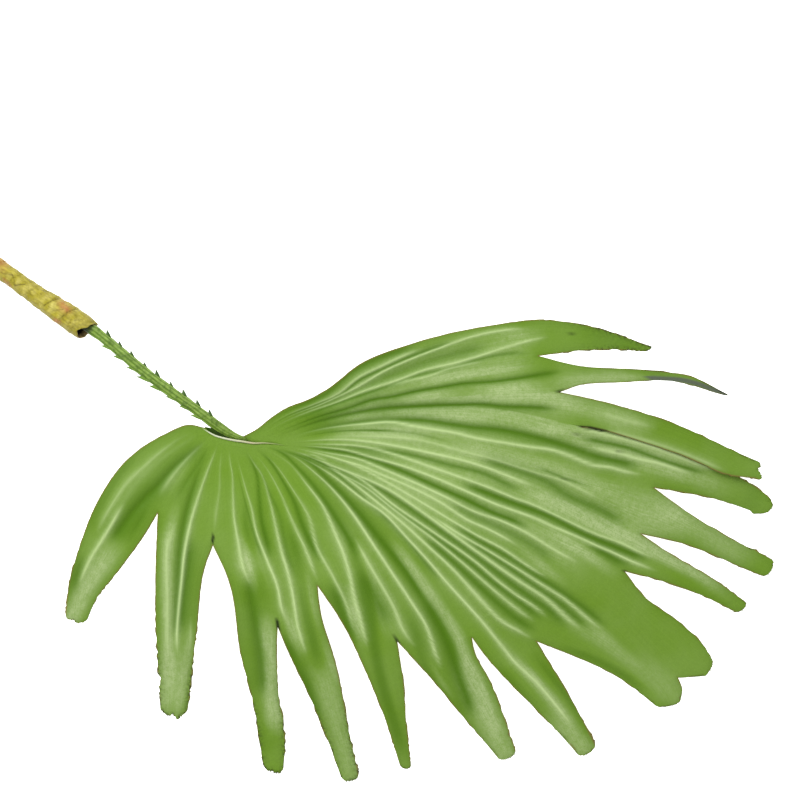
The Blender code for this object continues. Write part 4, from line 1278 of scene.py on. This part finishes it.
# %% The sleeve's measures and shape
SLEEVE = np.array([     # x, y of its middle, radius
    (-192.0, -2.8, 5.7), (-176.0, -2.8, 5.7), (-160.0, -2.8, 5.8), (-150.0, -2.7, 6.2), (-140.0, -2.3, 6.9),
    (-130.0, -1.9, 7.5), (-121.0, -1.7, 7.8), (-115.0, -1.8, 7.5), (-111.5, -2.0, 7.1)])
MOUTH_SIDE = 2.2            # how far the mouth's upper corner stands before its middle, mm
MOUTH_BACK = 1.7            # how far its upper lip is torn back, mm
MOUTH_FROM = -126.0         # the mouth's slant fades out from its end back to here, mm
TEAR = 2.0                  # a notch in the upper lip: its depth, mm, and its place and width, radians
TEAR_AT = 2.0
TEAR_WIDTH = 0.5
FLAT_DEPTH = 0.45           # how much the table flattens the underside, mm
WRAP_PITCH = 13.0           # spacing of the step that winds round the sheath, mm
WRAP_PHASE = 0.596
WRAP_STEP = 0.4             # mm
CRUMPLE = 0.16              # mm
CREASE_DEPTH = 0.35         # mm
SLEEVE_WALL = 0.8
SLEEVE_SIDES = 90
SLEEVE_RINGS = 190
SHADE_DEPTH = 5.0          # the inside is painted black as shade over this distance from the mouth, mm

CREASES = [                 # cracks and creases, painted dark as shade: strength, half width, points
    (1.0, 0.42, [(-163.6, -5.8), (-162.2, -4.4), (-160.8, -2.9), (-159, -1.4)]),
    (0.7, 0.3, [(-170, -0.6), (-167, -2.0), (-163.6, -5.6)]), (0.7, 0.45, [(-148, 2.3), (-146, 3.2)]),
    (0.6, 0.3, [(-158.6, 2.9), (-156.6, 1.2), (-153.6, 0.4)]), (0.5, 0.3, [(-154.5, -3.2), (-151.5, -4.6)]),
    (0.8, 0.3, [(-142, -4.6), (-140.6, -1.2), (-139.4, 1.2), (-137, 4.4)]),
    (0.8, 0.3, [(-129.6, -6.2), (-128.8, -2), (-127.6, 1.6), (-125.4, 4.8)]),
    (0.5, 0.3, [(-120.4, -1), (-118.4, 1.2), (-116.6, 2.4)]),
    (0.5, 0.3, [(-122, -7), (-119.4, -5), (-116, -4.4)]),
    (0.5, 0.3, [(-135.4, -4), (-133, -1.4), (-131, 0.2)]),
    (0.4, 0.3, [(-174, -4), (-169, -1.6), (-164, 1.4)]),
]
BLUSHES = [                 # reddish stains
    (1.0, 2.6, [(-134, 2.6), (-131.4, 1.0), (-129.4, 1.6)]), (1.0, 1.5, [(-131.4, -8.2), (-129.2, -7.6)]),
    (0.9, 4.0, [(-192, 0), (-177, 0.4)]), (0.6, 1.2, [(-171, -6.5), (-166, -7.4)]),
]


def marks_at(places, lines):
    """Return how strongly a list of lines marks these places, seen from above."""
    total = np.zeros(len(places))
    for strength, half, points in lines:
        close, distance, fade = near_line(places, points, 0.3, 0.3, 4 * half)
        total[close] += strength * np.exp(-((distance / half) ** 2))
    return np.clip(total, 0, 1)


def make_sleeve():
    """Shape the rolled sheath, open at its mouth, and paint its folds and stains."""
    sleeve = tube("sheath", SLEEVE_SIDES, SLEEVE_RINGS)
    edit(sleeve, "FACE", lambda face, ends: abs(face.normal.x) > 0.9)
    bpy.ops.mesh.delete(type="ONLY_FACE")
    bpy.ops.object.mode_set(mode="OBJECT")
    along, y, z = corners(sleeve).T
    angle = np.arctan2(z, y)
    start, end = SLEEVE[0, 0], SLEEVE[-1, 0]
    x = start + along * (end - start)
    line = curve(SLEEVE, LINE_STEPS)
    middle, radius = [np.interp(x, line[:, 0], line[:, column]) for column in (1, 2)]
    turn = (x / WRAP_PITCH + angle / (2 * math.pi) + WRAP_PHASE) % 1.0
    crumple = waves(11, 40, x, angle, 0.25, 1.3, 6)
    above = ease(2.2 * (1 + np.sin(angle)) - 0.15)
    flat = np.stack([x, middle + radius * np.cos(angle)], axis=1)
    crease = marks_at(flat, CREASES) * (np.sin(angle) > 0)
    outer = radius + above * (WRAP_STEP * (turn - 0.75) + CRUMPLE * crumple - CREASE_DEPTH * crease)
    height = np.maximum(radius - FLAT_DEPTH + outer * np.sin(angle), 0.0)
    torn = MOUTH_SIDE * np.cos(angle) - MOUTH_BACK * np.sin(angle)
    torn = torn + 0.3 * np.sin(5 * angle + 1) + 0.2 * np.sin(11 * angle)
    torn = torn - TEAR * np.exp(-(((angle - TEAR_AT) / TEAR_WIDTH) ** 2))
    x = x + ease((x - MOUTH_FROM) / (end - MOUTH_FROM)) * (torn - 0.7)
    place_corners(sleeve, np.stack([x, middle + outer * np.cos(angle), height], axis=1))
    paint(sleeve, "fold", crumple)
    paint(sleeve, "crease", crease)
    paint(sleeve, "blush", marks_at(flat, BLUSHES) * (np.sin(angle) > -0.2))
    # Painted shade: the flanks, the lower one most, are painted olive.
    paint(sleeve, "flank", np.abs(np.cos(angle)) ** 2.2 * np.where(np.cos(angle) < 0, 1.0, 0.75))
    # How far into the hollow a corner lies, for the inside's painted shade.
    paint(sleeve, "mouth", np.clip((end - 1 - start) * (1 - along) / SHADE_DEPTH, 0, 1))
    sleeve.data.materials.append(None)
    sleeve.data.materials.append(None)
    apply(sleeve, "SOLIDIFY", thickness=SLEEVE_WALL * MM, offset=-1.0, material_offset=1,
          material_offset_rim=1)
    return sleeve


sleeve = make_sleeve()
print("sheath:", round(SLEEVE[-1, 0] - SLEEVE[0, 0], 1), "mm long before its mouth is torn")

# %% [markdown]
# ## Papery husk
# The sheath has dried to a dull olive yellow. Its raised folds get a painted highlight, its flanks painted
# olive shade and its cracks and creases painted shade, and it is stained in places, so its skin reads the
# folds, cracks and stains that the mesh carries. The inside is tan at the mouth, and painted black as shade
# further in.

# %% The sleeve's finish
# The light husk colour is a painted highlight, the olive is also painted shade on the flanks, the dark is
# also painted shade in the cracks, and the hollow colour is painted shade inside.
HUSK_YELLOW = linear(162, 152, 42)
HUSK_HIGHLIGHT = linear(192, 182, 98)
HUSK_OLIVE = linear(112, 104, 4)
HUSK_DARK = linear(74, 62, 14)
HUSK_PINK = linear(152, 92, 56)
HUSK_TAN = linear(150, 128, 84)
HOLLOW_SHADE = linear(16, 14, 8)


def husk():
    """Return the papery outer skin: a painted highlight on the raised folds, painted olive shade on the
    flanks, painted shade in the cracks, and stains.
    """
    material, tree, shader = new_finish("husk", 0.5, specular=0.2)
    patches = stretched(tree, noise(tree, "object", 170.0, 5.0, rough=0.6), 0.36, 0.64)
    fibre = stretched(tree, noise(tree, "object", 1.0, 3.0, (130.0, 800.0, 800.0)), 0.35, 0.65)
    speck = stretched(tree, noise(tree, "object", 620.0, 4.0, rough=0.7), 0.5, 0.72)
    raised = stretched(tree, painted(tree, "fold"), -0.6, 1.0)
    colour = laid(tree, HUSK_YELLOW, HUSK_OLIVE, patches, 0.6)
    # Painted highlight on the raised folds.
    colour = laid(tree, colour, HUSK_HIGHLIGHT, raised, 0.55)
    # Painted shade on the flanks.
    colour = laid(tree, colour, HUSK_OLIVE, painted(tree, "flank"), 0.85)
    colour = laid(tree, colour, HUSK_DARK, fibre, 0.3)
    colour = laid(tree, colour, HUSK_DARK, speck, 0.5)
    stain = maths(tree, "MULTIPLY", painted(tree, "blush"), maths(tree, "MULTIPLY_ADD", patches, 0.5, 0.35))
    colour = mixed(tree, stain, colour, HUSK_PINK)
    # Painted shade in the cracks and creases.
    colour = laid(tree, colour, HUSK_DARK, painted(tree, "crease"), 0.8)
    tree.links.new(colour, shader.inputs["Base Color"])
    fine = bumped(tree, shader, fibre, 0.0003, 0.6)
    bumped(tree, shader, patches, 0.0006, 0.6, under=fine)
    return material


def husk_inside():
    """Return the inner skin: tan at the lip and painted dark, as shade, further in."""
    material, tree, shader = new_finish("husk_inside", 0.75, specular=0.1)
    patches = stretched(tree, noise(tree, "object", 400.0, 4.0), 0.35, 0.65)
    colour = laid(tree, HUSK_TAN, HUSK_DARK, patches, 0.6)
    # Painted shade: black deeper in the hollow.
    colour = mixed(tree, stretched(tree, painted(tree, "mouth"), 0.12, 0.75), colour, HOLLOW_SHADE)
    tree.links.new(colour, shader.inputs["Base Color"])
    bumped(tree, shader, patches, 0.0003, 0.5)
    return material


sleeve.data.materials[0] = husk()
sleeve.data.materials[1] = husk_inside()
finished(sleeve, "sleeve")

# %% [markdown]
# ## Table, light and camera
# A pale table that glows a little, an even sky and one wide, soft lamp to the upper left of
# the picture show the pleats without hard shadows. The camera looks straight down from far
# off through a long lens, which keeps the leaf's proportions true.

# %% Table
FLOOR_SIZE = 6.0
FLOOR_GREY = 0.93
FLOOR_GLOW = 0.9
deselect()
bpy.ops.mesh.primitive_plane_add(size=FLOOR_SIZE, location=(0.2, 0.07, -0.0004))
floor = bpy.context.object
floor.name = "table"
material, tree, shader = new_finish("pale_table", 0.9, specular=0.1)
shader.inputs["Base Color"].default_value = (FLOOR_GREY, FLOOR_GREY, FLOOR_GREY, 1)
shader.inputs["Emission Color"].default_value = (1, 1, 1, 1)
shader.inputs["Emission Strength"].default_value = FLOOR_GLOW
floor.data.materials.append(material)
print("table:", FLOOR_SIZE, "m wide")

# %% Light
SKY = 1.1
KEY_SIZE = 0.9              # m
KEY_POWER = 30              # W
world = bpy.data.worlds.new("studio")
world.use_nodes = True
world.node_tree.nodes["Background"].inputs["Color"].default_value = (1, 1, 1, 1)
world.node_tree.nodes["Background"].inputs["Strength"].default_value = SKY
bpy.context.scene.world = world


def lamp(name, place, target, size, power):
    """Add a square soft lamp that faces a target."""
    data = bpy.data.lights.new(name, "AREA")
    data.shape = "SQUARE"
    data.size = size
    data.energy = power
    light = bpy.data.objects.new(name, data)
    bpy.context.scene.collection.objects.link(light)
    light.location = place
    light.rotation_mode = "QUATERNION"
    light.rotation_quaternion = (Vector(place) - Vector(target)).to_track_quat("Z", "Y")
    return light


TURN = math.radians(36)     # how far the picture is turned against the leaf's own frame
CENTRE = Vector((0.2143, 0.0775, 0.0))


def picture(right, up, high):
    """Return a place given by how far right and up in the picture it is, and its height."""
    return CENTRE + Vector((right * math.cos(TURN) - up * math.sin(TURN),
                            right * math.sin(TURN) + up * math.cos(TURN), high))


key = lamp("key", picture(-1.0, 1.0, 1.1), CENTRE, KEY_SIZE, KEY_POWER)
print("key lamp at", [round(v, 2) for v in key.location], "m")

# %% Camera
HEIGHT_OF_PLANE = 0.015     # the height in the leaf at which the picture's scale is true, m
DISTANCE = 2.667
LENS = 200.0                # mm
SENSOR = 36.0               # mm
camera_data = bpy.data.cameras.new("camera")
camera_data.lens = LENS
camera_data.sensor_width = SENSOR
camera = bpy.data.objects.new("camera", camera_data)
bpy.context.scene.collection.objects.link(camera)
camera.location = CENTRE + Vector((0, 0, DISTANCE + HEIGHT_OF_PLANE))
camera.rotation_euler = (0, 0, TURN)
bpy.context.scene.camera = camera
bpy.context.scene.view_settings.view_transform = "Standard"
print("camera: the picture is", round(DISTANCE * SENSOR / LENS, 3), "m wide")
